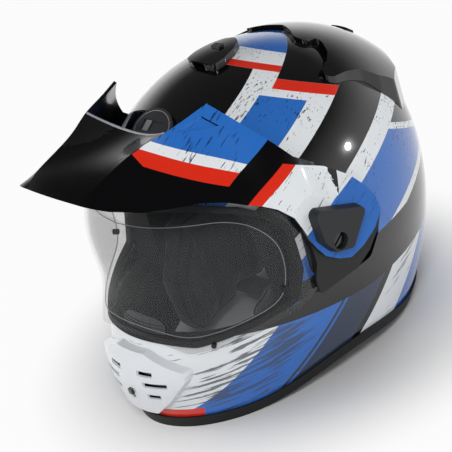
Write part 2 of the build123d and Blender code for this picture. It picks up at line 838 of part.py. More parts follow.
def make_rings():
    """Two D rings lying on each other, straight bar to the left, bow to the right."""
    rings = []
    middle = length_place(strap_place_share)
    for lift in (-ring_lift, ring_lift):
        near = middle - ring_width / 2
        bow_x = buckle_x - ring_depth
        path = FilletPolyline((buckle_x, near), (buckle_x, near + ring_width), (bow_x, near + ring_width),
                              (bow_x, near), radius=ring_corner, close=True)
        start = path @ 0
        profile = Plane(origin=start, z_dir=path % 0) * Circle(bar_radius)
        rings.append(Pos(0, 0, buckle_z + lift) * sweep(profile, path=path))
    return rings


def make_snap():
    x = buckle_x - ring_depth - strap_tail + 2 * snap_radius
    y = length_place(strap_place_share)
    low = strap_return_z + strap_thickness / 2
    high = strap_run_z - strap_thickness / 2
    return Pos(x, y, (low + high) / 2) * Cylinder(snap_radius, high - low)


def anchor_block(widen=0):
    y = length_place(strap_place_share)
    half = strap_width / 2 + widen
    return block((0, y - half, strap_anchor_z), (far, y + half, strap_anchor_z + anchor_height + widen))


def make_strap_anchor():
    """Steel plate inside the shell, on a rivet, that the strap hangs from."""
    plate = layer(anchor_grow, anchor_grow - strap_thickness, anchor_block())
    y = length_place(strap_place_share)
    z = strap_anchor_z + anchor_height - 2 * rivet_radius
    start = half_width_at(y, z, anchor_grow) - strap_thickness / 2
    end = half_width_at(y, z, -shell_wall) - seat_clearance
    return plate + rod(rivet_radius, y, z, start, end)


def build():
    save("outer_shell", make_shell())
    save("rim_trim", make_rim_trim())
    save("eye_port_gasket", make_gasket())
    base_plate = make_base_plate()
    base_screws = make_base_screws()
    cover = make_side_cover()
    screw = make_coin_screw()
    cap = make_peak_cap()
    for side, place in (("left", lambda solid: solid), ("right", mirrored)):
        save(f"base_plate_{side}", place(base_plate))
        save(f"base_screws_{side}", *[place(item) for item in base_screws])
        save(f"side_cover_{side}", place(cover))
        save(f"coin_screw_{side}", place(screw))
        save(f"peak_cap_{side}", place(cap))
    save("face_shield", make_shield())
    save("antifog_lens", make_lens())
    save("lens_pins", *lens_pins())
    save("shield_catch_pin", catch_pin())
    save("peak", make_peak())
    save("brow_vent", make_brow_vent())
    save("brow_slider", make_brow_slider())
    save("top_duct", make_top_duct())
    save("top_slider", make_top_slider())
    save("rear_diffuser", make_diffuser())
    save("rear_slider", make_rear_slider())
    save("chin_vent", make_chin_vent())
    save("chin_shutter", make_chin_shutter())
    save("impact_foam", make_foam())
    save("chin_foam", make_chin_foam())
    save("crown_pad", make_crown_pad())
    cheek = make_cheek_pad()
    save("cheek_pad_left", cheek)
    save("cheek_pad_right", mirrored(cheek))
    save("neck_roll", make_neck_roll())
    save("breath_guard", make_breath_guard())
    save("strap_long", make_long_strap())
    save("strap_short", make_short_strap())
    save("d_rings", *make_rings())
    save("strap_snap", make_snap())
    save("strap_anchors", *pair(make_strap_anchor()))


if __name__ == "__main__":
    build()
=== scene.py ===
import bpy
import bmesh
import json
import math
from mathutils import Matrix, Vector
from mathutils.bvhtree import BVHTree

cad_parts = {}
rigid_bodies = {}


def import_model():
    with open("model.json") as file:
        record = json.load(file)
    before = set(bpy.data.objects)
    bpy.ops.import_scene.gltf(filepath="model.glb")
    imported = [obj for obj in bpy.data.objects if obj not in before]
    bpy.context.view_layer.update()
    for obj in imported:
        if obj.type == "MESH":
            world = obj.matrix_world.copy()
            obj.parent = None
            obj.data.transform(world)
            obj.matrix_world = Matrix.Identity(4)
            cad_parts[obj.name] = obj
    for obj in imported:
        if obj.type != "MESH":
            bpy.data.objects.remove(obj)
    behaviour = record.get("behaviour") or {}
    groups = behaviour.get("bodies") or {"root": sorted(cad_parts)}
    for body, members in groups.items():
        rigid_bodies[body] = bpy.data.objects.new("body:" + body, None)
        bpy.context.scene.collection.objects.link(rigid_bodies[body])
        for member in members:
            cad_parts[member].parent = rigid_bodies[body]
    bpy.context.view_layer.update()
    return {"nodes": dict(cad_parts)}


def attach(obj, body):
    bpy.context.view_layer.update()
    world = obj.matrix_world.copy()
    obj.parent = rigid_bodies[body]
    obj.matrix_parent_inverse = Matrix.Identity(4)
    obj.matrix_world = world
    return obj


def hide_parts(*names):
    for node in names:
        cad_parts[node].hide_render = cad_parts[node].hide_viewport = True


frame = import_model()
nodes = frame["nodes"]
print("frame loaded:", len(nodes), "nodes")

# camera at the photograph's viewing angle
camera = dict(azimuth=56.6, elevation=27.25, roll=-18.0, target=(0.0, -0.0133, 0.130), distance=1.686,
              lens=155.55, shift=(-0.01737, -0.0343), reach=20)


def addObject(name, data):
    thing = bpy.data.objects.new(name, data)
    bpy.context.scene.collection.objects.link(thing)
    return thing


def makeCamera():
    azimuth, elevation, roll = (math.radians(camera[key]) for key in ("azimuth", "elevation", "roll"))
    back = Vector((math.sin(azimuth) * math.cos(elevation), -math.cos(azimuth) * math.cos(elevation),
                   math.sin(elevation)))
    right = Vector((math.cos(azimuth), math.sin(azimuth), 0))
    up = back.cross(right)
    turnedRight = right * math.cos(roll) + up * math.sin(roll)
    turnedUp = up * math.cos(roll) - right * math.sin(roll)
    data = bpy.data.cameras.new("photoCamera")
    data.lens = camera["lens"]
    data.shift_x, data.shift_y = camera["shift"]
    data.clip_end = camera["reach"]
    eye = addObject("photoCamera", data)
    place = Matrix((turnedRight, turnedUp, back)).transposed().to_4x4()
    place.translation = Vector(camera["target"]) + back * camera["distance"]
    eye.matrix_world = place
    bpy.context.scene.camera = eye


makeCamera()

# the helmet's own form, in metres, as the solids have it
formSizes = dict(halfWidth=0.126, rimHalfWidth=0.100, browReach=0.138, chinReach=0.166, rimFrontReach=0.161,
                 napeReach=0.171, rimRearReach=0.122, height=0.265, equator=0.127, chinHeight=0.045,
                 lean=0.015, shift=0.0067, taperPower=2.2)
padSizes = dict(outer=-0.03465, cheekThickness=0.027)


def smooth(share):
    share = min(max(share, 0.0), 1.0)
    return share * share * (3 - 2 * share)


def formReach(height, grow):
    s = formSizes
    if height <= s["equator"]:
        fall = ((s["equator"] - height) / s["equator"]) ** s["taperPower"]
        width = s["halfWidth"] - (s["halfWidth"] - s["rimHalfWidth"]) * fall
        rear = s["napeReach"] - (s["napeReach"] - s["rimRearReach"]) * fall
        if height >= s["chinHeight"]:
            share = smooth((s["equator"] - height) / (s["equator"] - s["chinHeight"]))
            front = s["browReach"] + (s["chinReach"] - s["browReach"]) * share
        else:
            share = (s["chinHeight"] - height) / s["chinHeight"]
            front = s["chinReach"] - (s["chinReach"] - s["rimFrontReach"]) * share ** 2
        return width + grow, front + grow, rear + grow, 0.0
    rise = min((height - s["equator"]) / (s["height"] + grow - s["equator"]), 1.0)
    ringShare = math.sqrt(max(1 - rise * rise, 0.0))
    return ((s["halfWidth"] + grow) * ringShare, (s["browReach"] + grow) * ringShare,
            (s["napeReach"] + grow) * ringShare, s["lean"] * rise * rise)


def formPoint(height, angle, grow):
    width, front, rear, lean = formReach(height, grow)
    depth = front if math.sin(angle) < 0 else rear
    return Vector((width * math.cos(angle), formSizes["shift"] + lean + depth * math.sin(angle), height))


def sidePoint(y, height, grow, side=1):
    # on the form at a place of the side view
    width, front, rear, lean = formReach(height, grow)
    reach = y - formSizes["shift"] - lean
    along = reach / (front if reach < 0 else rear)
    return Vector((side * width * math.sqrt(max(1 - along * along, 0.0)), y, height))


mergeReach, tiny = 1e-6, 1e-9  # points closer than the reach are one, and no length divides below tiny


# mesh helpers
def newObject(name, vertices, faces, finish):
    mesh = bpy.data.meshes.new(name)
    mesh.from_pydata([tuple(v) for v in vertices], [], faces)
    mesh.update()
    piece = addObject(name, mesh)
    for polygon in mesh.polygons:
        polygon.use_smooth = True
    mesh.materials.append(finishes[finish])
    piece["ridesOn"] = "helmet"
    return piece


def outwardFaces(piece):
    mesh = bmesh.new()
    mesh.from_mesh(piece.data)
    bmesh.ops.remove_doubles(mesh, verts=mesh.verts, dist=mergeReach)
    bmesh.ops.recalc_face_normals(mesh, faces=mesh.faces)
    mesh.to_mesh(piece.data)
    mesh.free()
    return piece


def gridFaces(rows, columns, wrapColumns=False, wrapRows=False):
    faces = []
    for row in range(rows if wrapRows else rows - 1):
        for column in range(columns if wrapColumns else columns - 1):
            nextRow, nextColumn = (row + 1) % rows, (column + 1) % columns
            faces.append((row * columns + column, row * columns + nextColumn,
                          nextRow * columns + nextColumn, nextRow * columns + column))
    return faces


def tubeFaces(rows, columns):
    # a tube of rings with flat ends
    last = (rows - 1) * columns
    return gridFaces(rows, columns, wrapColumns=True) + [
        tuple(range(columns)), tuple(reversed(range(last, last + columns)))]


def cushionFaces(rows, columns, rimRow, tipRow):
    # two skins of rings, each closed at its tip, joined by a wall along the rim
    count = rows * columns
    inner = count + 1
    faces = gridFaces(rows, columns, wrapColumns=True)
    faces += [tuple(index + inner for index in reversed(face)) for face in faces]
    for column in range(columns):
        start, after = rimRow * columns + column, rimRow * columns + (column + 1) % columns
        faces.append((start, start + inner, after + inner, after))
    for column in range(columns):
        start, after = tipRow * columns + column, tipRow * columns + (column + 1) % columns
        faces.append((start, after, count))
        faces.append((after + inner, start + inner, count + inner))
    return faces


def softFinish(piece):
    finish = piece.modifiers.new("soften", "SUBSURF")
    finish.levels = 1
    finish.render_levels = 1
    return finish


# node helpers
def ink(red, green, blue):
    values = []
    for part in (red, green, blue):
        part /= 255
        values.append(((part + 0.055) / 1.055) ** 2.4 if part > 0.04045 else part / 12.92)
    return (*values, 1)


def plug(tree, socket, value):
    if isinstance(value, bpy.types.NodeSocket):
        tree.links.new(value, socket)
    else:
        socket.default_value = value


def put(tree, kind, inputs=None, **settings):
    node = tree.nodes.new(kind)
    for key, value in settings.items():
        setattr(node, key, value)
    for key, value in (inputs or {}).items():
        plug(tree, node.inputs[key], value)
    return node


def maths(tree, operation, first, second=0.5, clamp=False):
    return put(tree, "ShaderNodeMath", {0: first, 1: second}, operation=operation, use_clamp=clamp).outputs[0]


def blendColour(tree, factor, under, over):
    return put(tree, "ShaderNodeMix", {0: factor, 6: under, 7: over}, data_type="RGBA").outputs[2]


def ramp(tree, value, low, high, start=0.0, end=1.0):
    return put(tree, "ShaderNodeMapRange", {0: value, 1: low, 2: high, 3: start, 4: end},
               interpolation_type="SMOOTHSTEP").outputs[0]


def noise(tree, coords, scale, detail, **more):
    return put(tree, "ShaderNodeTexNoise", dict(Vector=coords, Scale=scale, Detail=detail, **more)).outputs[0]


def threshold(tree, value, limit, sharpness):
    # a mask that is full above a limit, with an edge as narrow as the sharpness makes it
    gap = maths(tree, "MULTIPLY", maths(tree, "SUBTRACT", value, limit), sharpness)
    return maths(tree, "ADD", gap, 0.5, clamp=True)


def newTree(name, kind, inputs, outputs):
    # a node tree whose inputs are given by a kind of socket or a starting value
    tree = bpy.data.node_groups.new(name, kind)
    for label, value in inputs.items():
        bare = isinstance(value, str)
        socketKind = value if bare else {tuple: "Vector", int: "Int", float: "Float"}[type(value)]
        socket = tree.interface.new_socket(name=label, in_out="INPUT", socket_type="NodeSocket" + socketKind)
        if not bare:
            socket.default_value = value
    for label, socketKind in outputs.items():
        tree.interface.new_socket(name=label, in_out="OUTPUT", socket_type="NodeSocket" + socketKind)
    return tree, tree.nodes.new("NodeGroupInput").outputs, tree.nodes.new("NodeGroupOutput").inputs


def useGroup(tree, group, inputs):
    return put(tree, "ShaderNodeGroup", inputs, node_tree=group).outputs


# values inside the shader groups
bandLook = dict(sharpness=5000.0)
brushLook = dict(detail=4.0, roughness=0.6, patchDetail=2.0, sharpness=34.0)
wearLook = dict(hazeDetail=4.0, speckDetail=2.0, hazeShare=0.6, speckShare=0.4)
threadLook = dict(fuzz=90.0, fuzzDetail=3.0)


def makeBandGroup():
    # a slanted field of colour between two pairs of parallel lines
    group, given, result = newTree("slantedField", "ShaderNodeTree", {
        "Vector": "Vector", "Across": (0, 0, 1), "From": 0.0, "To": 0.1,
        "Along": (0, 1, 0), "Start": -1.0, "End": 1.0}, {"Mask": "Float"})
    whole = 1.0
    for line, low, high in (("Across", "From", "To"), ("Along", "Start", "End")):
        place = put(group, "ShaderNodeVectorMath", {0: given["Vector"], 1: given[line]},
                    operation="DOT_PRODUCT").outputs["Value"]
        for value, sign in ((low, 1), (high, -1)):
            mask = threshold(group, place, given[value], bandLook["sharpness"] * sign)
            whole = maths(group, "MULTIPLY", whole, mask)
    group.links.new(whole, result["Mask"])
    return group


def makeBrushGroup():
    # fine dry-brush streaks that run along one direction, in patches
    group, given, result = newTree("dryBrush", "ShaderNodeTree", {
        "Vector": "Vector", "Turn": (0, 0, 0), "Length": 18.0, "Fineness": 420.0, "Patches": 16.0,
        "Limit": 0.66, "Cover": 0.3}, {"Mask": "Float"})
    turned = put(group, "ShaderNodeVectorRotate", {"Vector": given["Vector"], "Rotation": given["Turn"]},
                 rotation_type="EULER_XYZ").outputs[0]
    stretch = put(group, "ShaderNodeCombineXYZ", {0: given["Fineness"], 1: given["Length"],
                                                  2: given["Fineness"]}).outputs[0]
    scaled = put(group, "ShaderNodeVectorMath", {0: turned, 1: stretch}, operation="MULTIPLY").outputs[0]
    lines = noise(group, scaled, 1.0, brushLook["detail"], Roughness=brushLook["roughness"])
    patches = noise(group, given["Vector"], given["Patches"], brushLook["patchDetail"])
    lowered = maths(group, "MULTIPLY", maths(group, "SUBTRACT", patches, 0.5), given["Cover"])
    limit = maths(group, "SUBTRACT", given["Limit"], lowered)
    group.links.new(threshold(group, lines, limit, brushLook["sharpness"]), result["Mask"])
    return group


def makeWearGroup():
    # haze, dust specks and small height changes that keep a moulded surface from looking flat
    group, given, result = newTree("mouldedWear", "ShaderNodeTree", {
        "Vector": "Vector", "Haze Scale": 30.0, "Speck Scale": 900.0, "Roughness": 0.3, "Spread": 0.08},
        {"Roughness": "Float", "Shade": "Float", "Height": "Float"})
    haze = noise(group, given["Vector"], given["Haze Scale"], wearLook["hazeDetail"])
    specks = noise(group, given["Vector"], given["Speck Scale"], wearLook["speckDetail"])
    spread = maths(group, "MULTIPLY", maths(group, "SUBTRACT", haze, 0.5), given["Spread"])
    doubled = maths(group, "MULTIPLY", spread, 2.0)
    group.links.new(maths(group, "ADD", given["Roughness"], doubled), result["Roughness"])
    group.links.new(maths(group, "ADD", maths(group, "MULTIPLY", haze, wearLook["hazeShare"]),
                          maths(group, "MULTIPLY", specks, wearLook["speckShare"])), result["Shade"])
    group.links.new(specks, result["Height"])
    return group


def makeWeaveGroup():
    # over-and-under threads on a piece's own UV map
    group, given, result = newTree("threads", "ShaderNodeTree", {
        "Vector": "Vector", "Across": 60.0, "Along": 60.0}, {"Height": "Float", "Shade": "Float"})
    parts = put(group, "ShaderNodeSeparateXYZ", {0: given["Vector"]})
    waves = []
    for index, rate in ((0, "Across"), (1, "Along")):
        turns = maths(group, "MULTIPLY", parts.outputs[index], given[rate])
        waves.append(maths(group, "SINE", maths(group, "MULTIPLY", turns, 2 * math.pi)))
    crossing = maths(group, "MULTIPLY", *waves)
    lifted = maths(group, "ADD", maths(group, "MULTIPLY", crossing, 0.5), 0.5)
    fuzz = noise(group, given["Vector"], threadLook["fuzz"], threadLook["fuzzDetail"])
    group.links.new(lifted, result["Height"])
    group.links.new(maths(group, "ADD", maths(group, "MULTIPLY", lifted, 0.5),
                          maths(group, "MULTIPLY", fuzz, 0.5)), result["Shade"])
    return group


bandGroup = makeBandGroup()
brushGroup = makeBrushGroup()
wearGroup = makeWearGroup()
weaveGroup = makeWeaveGroup()


def feed(tree, shader, **surface):
    for key, value in surface.items():
        plug(tree, shader.inputs[key.replace("_", " ")], value)


def newMaterial(name, **surface):
    material = bpy.data.materials.new(name)
    material.use_nodes = True
    tree = material.node_tree
    shader = tree.nodes["Principled BSDF"]
    feed(tree, shader, **surface)
    return material, tree, shader


def addWear(tree, shader, coords, **look):
    # uneven gloss, and the wear group's other outputs for the caller
    worn = useGroup(tree, wearGroup, dict(Vector=coords, **look))
    feed(tree, shader, Roughness=worn["Roughness"])
    return worn


def addBump(tree, shader, strength, distance, height):
    bump = put(tree, "ShaderNodeBump", {"Strength": strength, "Distance": distance, "Height": height})
    feed(tree, shader, Normal=bump.outputs[0])


def objectCoords(tree):
    return put(tree, "ShaderNodeTexCoord").outputs["Object"]


def sideCoords(tree):
    # the same on both sides of the helmet
    parts = put(tree, "ShaderNodeSeparateXYZ", {0: objectCoords(tree)}).outputs
    side = maths(tree, "ABSOLUTE", parts[0])
    return put(tree, "ShaderNodeCombineXYZ", {0: side, 1: parts[1], 2: parts[2]}).outputs[0]


def barCoords(tree, coords):
    # along the chin bar as Y, up as Z
    parts = put(tree, "ShaderNodeSeparateXYZ", {0: coords}).outputs
    turn = maths(tree, "ARCTAN2", parts[0], maths(tree, "MULTIPLY", parts[1], -1.0))
    along = maths(tree, "MULTIPLY", turn, chinBarRadius)
    return put(tree, "ShaderNodeCombineXYZ", {1: along, 2: parts[2]}).outputs[0]


inks = dict(white=ink(234, 238, 241), blue=ink(44, 110, 196), red=ink(226, 46, 26), black=ink(7, 7, 9),
            navy=ink(17, 24, 44), slate=ink(44, 56, 80), smoke=ink(58, 64, 74),
            hazyPearl=ink(222, 227, 233), pearl=ink(240, 243, 246))

# painted fields in paint order: ink, line across and its span, line along and its run, in metres from the
# dome's middle. Parallel bands rise to the rear, and lines that fall to the rear cut them off
paintMiddle = (0.0, 0.02, 0.12)
rising, falling, steep = (-0.28, -0.33, 0.90), (0.0, 0.51, 0.86), (0.0, 0.66, -0.75)
level, forward, tapered = (0.0, 0.0, 1.0), (0.0, 1.0, 0.0), (0, 0.115, 0.993)
far = 0.4  # past the helmet in every direction
through = (-far, far)
chinTop = -0.029  # where the pale paint of the chin bar starts
chinField = (-0.2, chinTop)
shellPaint = [
    ("black", rising, (0.112, far), falling, (-far, 0.119)),
    ("red", rising, (0.096, far), falling, (0.119, 0.124)),
    ("blue", rising, (0.096, far), falling, (0.134, far)),
    ("blue", rising, (0.070, 0.101), falling, (-far, 0.100)),
    ("red", rising, (0.052, 0.096), falling, (0.106, 0.114)),
    ("black", rising, (0.052, 0.096), falling, (0.114, far)),
    ("black", rising, (0.012, 0.052), falling, through),
    ("blue", rising, (-0.056, -0.006), falling, (-far, 0.082)),
    ("navy", rising, (-0.056, -0.006), falling, (0.087, far)),
    ("black", rising, (-far, -0.063), falling, through),
    ("white", level, chinField, forward, through),
    ("blue", steep, (-0.032, 0.011), level, chinField),
    ("slate", steep, (0.011, 0.052), level, chinField),
    ("blue", steep, (0.014, 0.0165), level, chinField),
    ("blue", steep, (0.092, far), level, chinField),
    ("black", steep, (0.049, 0.056), level, chinField),
    ("black", tapered, (-0.0520, far), level, (-0.0520, chinTop)),
    ("black", level, (-0.030, -0.012), forward, (-0.075, 0.083)),
    ("red", level, (-0.15, -0.1005), forward, (-far, -0.157)),
]

# the peak: striped rear flanks, then its arms in line with the outer shell
flank, ridge, flankRun = (0.3, 0.35, 0.85), (1.0, -0.28, 0.0), (0.081, far)
peakPaint = [
    ("red", flank, (0.0735, 0.0825), ridge, flankRun),
    ("white", flank, (0.0825, 0.089), ridge, flankRun),
    ("blue", flank, (0.089, far), ridge, flankRun),
    ("black", forward, (-far, -0.137), level, through),
    ("black", rising, (0.052, 0.086), falling, through),
    ("red", rising, (0.057, 0.066), falling, (-far, 0.052)),
    ("white", rising, (0.010, 0.057), falling, (-far, 0.052)),
    ("black", rising, (0.010, 0.052), falling, (0.052, far)),
    ("blue", rising, (-far, 0.010), falling, through),
]

# streaks: dashes along the bands, strokes round the chin bar and marks on its vent, wiping marks on clear
# plastic, grain of metal
chinBarRadius = 0.13
streakKinds = dict(
    dash=dict(Turn=(-0.455, 0, 0), Length=46.0, Fineness=640.0, Patches=22.0, Limit=0.64, Cover=0.42),
    stroke=dict(Turn=(-0.16, 0, 0), Length=17.0, Fineness=330.0, Patches=13.0, Limit=0.625, Cover=0.75),
    ventMark=dict(Turn=(0.2, 0, 0), Length=20.0, Fineness=380.0, Patches=20.0, Limit=0.72, Cover=0.6),
    wipe=dict(Turn=(0, 0.2, 0.3), Length=20.0, Fineness=500.0, Patches=25.0, Limit=0.74, Cover=0.2),
    metal=dict(Turn=(0, 0, 0), Length=60.0, Fineness=1500.0, Patches=60.0, Limit=0.58, Cover=0.3))
streakCover = dict(dark=0.01, light=0.2, dash=0.9, stroke=0.85, ventMark=0.75, wipe=0.03)


def streaks(tree, kind, coords):
    return useGroup(tree, brushGroup, dict(Vector=coords, **streakKinds[kind]))["Mask"]


def paintColour(tree, coords, base, fields):
    colour = base
    coords = put(tree, "ShaderNodeVectorMath", {0: coords, 1: paintMiddle}, operation="SUBTRACT").outputs[0]
    for name, across, span, along, run in fields:
        mask = useGroup(tree, bandGroup, dict(Vector=coords, Across=across, From=span[0], To=span[1],
                                              Along=along, Start=run[0], End=run[1]))["Mask"]
        colour = blendColour(tree, mask, colour, inks[name])
    return colour


def streakColour(tree, coords, colour, low):
    # dashes where the paint is light, and strokes in their place low on the helmet
    green = put(tree, "ShaderNodeSeparateColor", {0: colour}).outputs[1]
    bright = ramp(tree, green, streakCover["dark"], streakCover["light"])
    masks = []
    for kind, where, share in (("dash", coords, maths(tree, "SUBTRACT", 1.0, low)),
                               ("stroke", barCoords(tree, coords), low)):
        placed = maths(tree, "MULTIPLY", streaks(tree, kind, where), share)
        masks.append(maths(tree, "MULTIPLY", placed, maths(tree, "MULTIPLY", bright, streakCover[kind])))
    return blendColour(tree, masks[1], blendColour(tree, masks[0], colour, inks["navy"]), inks["smoke"])


def makePaint(name, base, fields, roughness, spread, strokeHeights=None, **gloss):
    # painted fields with streaks under a clear coat
    material, tree, shader = newMaterial(name, Coat_Roughness=0.03, **gloss)
    coords = sideCoords(tree)
    height = put(tree, "ShaderNodeSeparateXYZ", {0: coords}).outputs[2]
    low = ramp(tree, height, *strokeHeights) if strokeHeights else 0.0
    colour = paintColour(tree, coords, inks[base], fields)
    feed(tree, shader, Base_Color=streakColour(tree, coords, colour, low))
    addWear(tree, shader, coords, Roughness=roughness, Spread=spread)
    return material


def makeChinPaint():
    material, tree, shader = newMaterial("chinPearl", Coat_Weight=1.0, Coat_Roughness=0.04,
                                         Specular_IOR_Level=0.55)
    coords = sideCoords(tree)
    worn = addWear(tree, shader, coords, Roughness=0.2, Spread=0.05)
    tinted = blendColour(tree, worn["Shade"], inks["hazyPearl"], inks["pearl"])
    marks = streaks(tree, "ventMark", barCoords(tree, coords))
    faded = maths(tree, "MULTIPLY", marks, streakCover["ventMark"])
    feed(tree, shader, Base_Color=blendColour(tree, faded, tinted, inks["navy"]))
    return material


# dust lightens moulded plastic by a share and a little more, and its own shine drops under a clear coat
mouldedLook = dict(spread=0.06, lift=0.25, dust=0.004, grainDepth=0.0002, shine=0.35, coatedDrop=0.2)


def makeMoulded(name, colour, roughness, coat=0.0, grain=0.0, speck=900.0):
    # moulded plastic or rubber: haze in the gloss, faint grain, dust in the shade
    look = mouldedLook
    material, tree, shader = newMaterial(name, Coat_Weight=coat, Coat_Roughness=0.05,
                                         Specular_IOR_Level=look["shine"] - look["coatedDrop"] * coat)
    worn = addWear(tree, shader, objectCoords(tree), Roughness=roughness, Spread=look["spread"],
                   **{"Speck Scale": speck})
    lighter = tuple(min(part * (1 + look["lift"]) + look["dust"], 1) for part in colour[:3]) + (1,)
    feed(tree, shader, Base_Color=blendColour(tree, worn["Shade"], colour, lighter))
    if grain:
        addBump(tree, shader, grain, look["grainDepth"], worn["Height"])
    return material


def makeClear(name, roughness, alpha):
    # clear polycarbonate, see-through with a faint haze and fine wiping marks
    material, tree, shader = newMaterial(name, Base_Color=ink(66, 69, 72), Specular_IOR_Level=0.9)
    coords = objectCoords(tree)
    marks = maths(tree, "MULTIPLY", streaks(tree, "wipe", coords), streakCover["wipe"])
    feed(tree, shader, Alpha=maths(tree, "ADD", marks, alpha))
    addWear(tree, shader, coords, Roughness=roughness, Spread=0.02)
    return material


fabricLook = dict(hazeScale=60.0, speckScale=1400.0, spread=0.08, tone=0.6)


def makeFabric(name, dark, light, across, along, strength, distance, roughness=0.85, sheen=0.3):
    # knitted or woven cloth on the piece's own UV map
    material, tree, shader = newMaterial(name, Sheen_Weight=sheen, Sheen_Roughness=0.5,
                                         Specular_IOR_Level=0.25)
    coords = put(tree, "ShaderNodeTexCoord").outputs["UV"]
    threads = useGroup(tree, weaveGroup, dict(Vector=coords, Across=across, Along=along))
    worn = addWear(tree, shader, objectCoords(tree), Roughness=roughness, Spread=fabricLook["spread"],
                   **{"Haze Scale": fabricLook["hazeScale"], "Speck Scale": fabricLook["speckScale"]})
    tone = maths(tree, "MULTIPLY", maths(tree, "ADD", threads["Shade"], worn["Shade"]), fabricLook["tone"])
    feed(tree, shader, Base_Color=blendColour(tree, tone, dark, light))
    addBump(tree, shader, strength, distance, threads["Height"])
    return material


foamLook = dict(cells=260.0, join=0.12, dimple=0.0005, dark=ink(10, 10, 11), light=ink(26, 26, 28))


def makeFoam():
    # pressed bead foam: cells with a slight dimple at each join
    material, tree, shader = newMaterial("beadFoam", Specular_IOR_Level=0.3)
    coords = objectCoords(tree)
    beads = {"Vector": coords, "Scale": foamLook["cells"]}
    joins = put(tree, "ShaderNodeTexVoronoi", beads, feature="DISTANCE_TO_EDGE").outputs[0]
    tones = put(tree, "ShaderNodeTexVoronoi", beads).outputs["Color"]
    edge = ramp(tree, joins, 0.0, foamLook["join"])
    grey = put(tree, "ShaderNodeSeparateColor", {0: tones}).outputs[0]
    tone = maths(tree, "MULTIPLY", edge, maths(tree, "ADD", maths(tree, "MULTIPLY", grey, 0.5), 0.5))
    feed(tree, shader, Base_Color=blendColour(tree, tone, foamLook["dark"], foamLook["light"]))
    addWear(tree, shader, coords, Roughness=0.75, Spread=0.08)
    addBump(tree, shader, 0.5, foamLook["dimple"], edge)
    return material


steelLook = dict(colour=ink(178, 180, 184), grainShade=0.7)


def makeSteel():
    material, tree, shader = newMaterial("steel", Metallic=1.0)
    coords = objectCoords(tree)
    bare = steelLook["colour"]
    darker = tuple(part * steelLook["grainShade"] for part in bare[:3]) + (1,)
    feed(tree, shader, Base_Color=blendColour(tree, streaks(tree, "metal", coords), bare, darker))
    addWear(tree, shader, coords, Roughness=0.28, Spread=0.1)
    return material


finishes = dict(
    shellPaint=makePaint("shellPaint", "white", shellPaint, 0.16, 0.05, strokeHeights=(0.105, 0.088),
                         Coat_Weight=1.0, Specular_IOR_Level=0.15),
    peakPaint=makePaint("peakPaint", "black", peakPaint, 0.2, 0.06,
                        Coat_Weight=0.35, Specular_IOR_Level=0.06),
    chinPearl=makeChinPaint(),
    ductGloss=makeMoulded("ductGloss", ink(7, 7, 8), 0.12, coat=1.0),
    ventGrey=makeMoulded("ventGrey", ink(40, 41, 44), 0.34, coat=0.2, grain=0.1),
    ventPale=makeMoulded("ventPale", ink(112, 114, 118), 0.3, coat=0.2, grain=0.1),
    peakBlack=makeMoulded("peakBlack", ink(7, 7, 8), 0.3, coat=0.4, grain=0.05),
    # painted highlight: pale grey on the peak's notch lip, where its dark edge catches the light
    lipHighlightGrey=makeMoulded("lipHighlightGrey", ink(150, 153, 158), 0.3, coat=0.5),
    coverBlack=makeMoulded("coverBlack", ink(15, 16, 17), 0.48, grain=0.25, speck=1500.0),
    capGrey=makeMoulded("capGrey", ink(27, 29, 32), 0.5, grain=0.35, speck=1700.0),
    sliderBlack=makeMoulded("sliderBlack", ink(12, 12, 14), 0.3, grain=0.1),
    rubberBlack=makeMoulded("rubberBlack", ink(9, 9, 10), 0.6, grain=0.3, speck=1300.0),
    clearShield=makeClear("clearShield", 0.03, 0.13),
    clearLens=makeClear("clearLens", 0.04, 0.08),
    lensSeal=makeMoulded("lensSeal", ink(150, 154, 158), 0.3),
    linerKnit=makeFabric("linerKnit", ink(20, 20, 22), ink(46, 46, 50), 90.0, 90.0, 0.6, 0.0004),
    trimVinyl=makeFabric("trimVinyl", ink(14, 14, 15), ink(26, 26, 28), 120.0, 120.0, 0.15, 0.0003,
                         roughness=0.55, sheen=0.05),
    webbing=makeFabric("webbing", ink(10, 10, 11), ink(34, 34, 36), 9.0, 70.0, 0.8, 0.0006),
    thread=makeFabric("thread", ink(60, 60, 63), ink(104, 104, 108), 3.0, 12.0, 0.4, 0.0002),
    airMesh=makeFabric("airMesh", ink(52, 55, 57), ink(92, 96, 99), 60.0, 60.0, 0.6, 0.0004),
    beadFoam=makeFoam(),
    steel=makeSteel(),
)
print("materials made:", len(finishes))


def both(name):
    return [name + "_left", name + "_right"]


solidFinishes = dict(
    shellPaint=["outer_shell"], peakPaint=["peak"], chinPearl=["chin_vent"],
    rubberBlack=["rim_trim", "eye_port_gasket"],
    coverBlack=both("base_plate") + both("side_cover"),
    capGrey=both("peak_cap"),
    ductGloss=both("coin_screw") + ["top_duct", "rear_diffuser", "chin_shutter"],
    clearShield=["face_shield"], clearLens=["antifog_lens"],
    ventGrey=["brow_vent"], ventPale=["brow_slider"],
    sliderBlack=["lens_pins", "shield_catch_pin", "top_slider", "rear_slider", "strap_snap"],
    beadFoam=["impact_foam", "chin_foam"],
    steel=both("base_screws") + ["d_rings", "strap_anchors"])
for finish, names in solidFinishes.items():
    for name in names:
        mesh = nodes[name].data
        mesh.materials.clear()
        mesh.materials.append(finishes[finish])
        for polygon in mesh.polygons:
            polygon.material_index = 0


def secondFinish(name, finish, chosen):
    # another finish on the faces of a solid that pass a test of their normal and middle
    mesh = nodes[name].data
    mesh.materials.append(finishes[finish])
    for polygon in mesh.polygons:
        if chosen(polygon.normal, polygon.center):
            polygon.material_index = 1


# how far a painted face of the peak turns outward and up, and where a cut edge starts
peakFaces = dict(outward=0.8, upward=0.6, painted=0.45, cut=0.55)


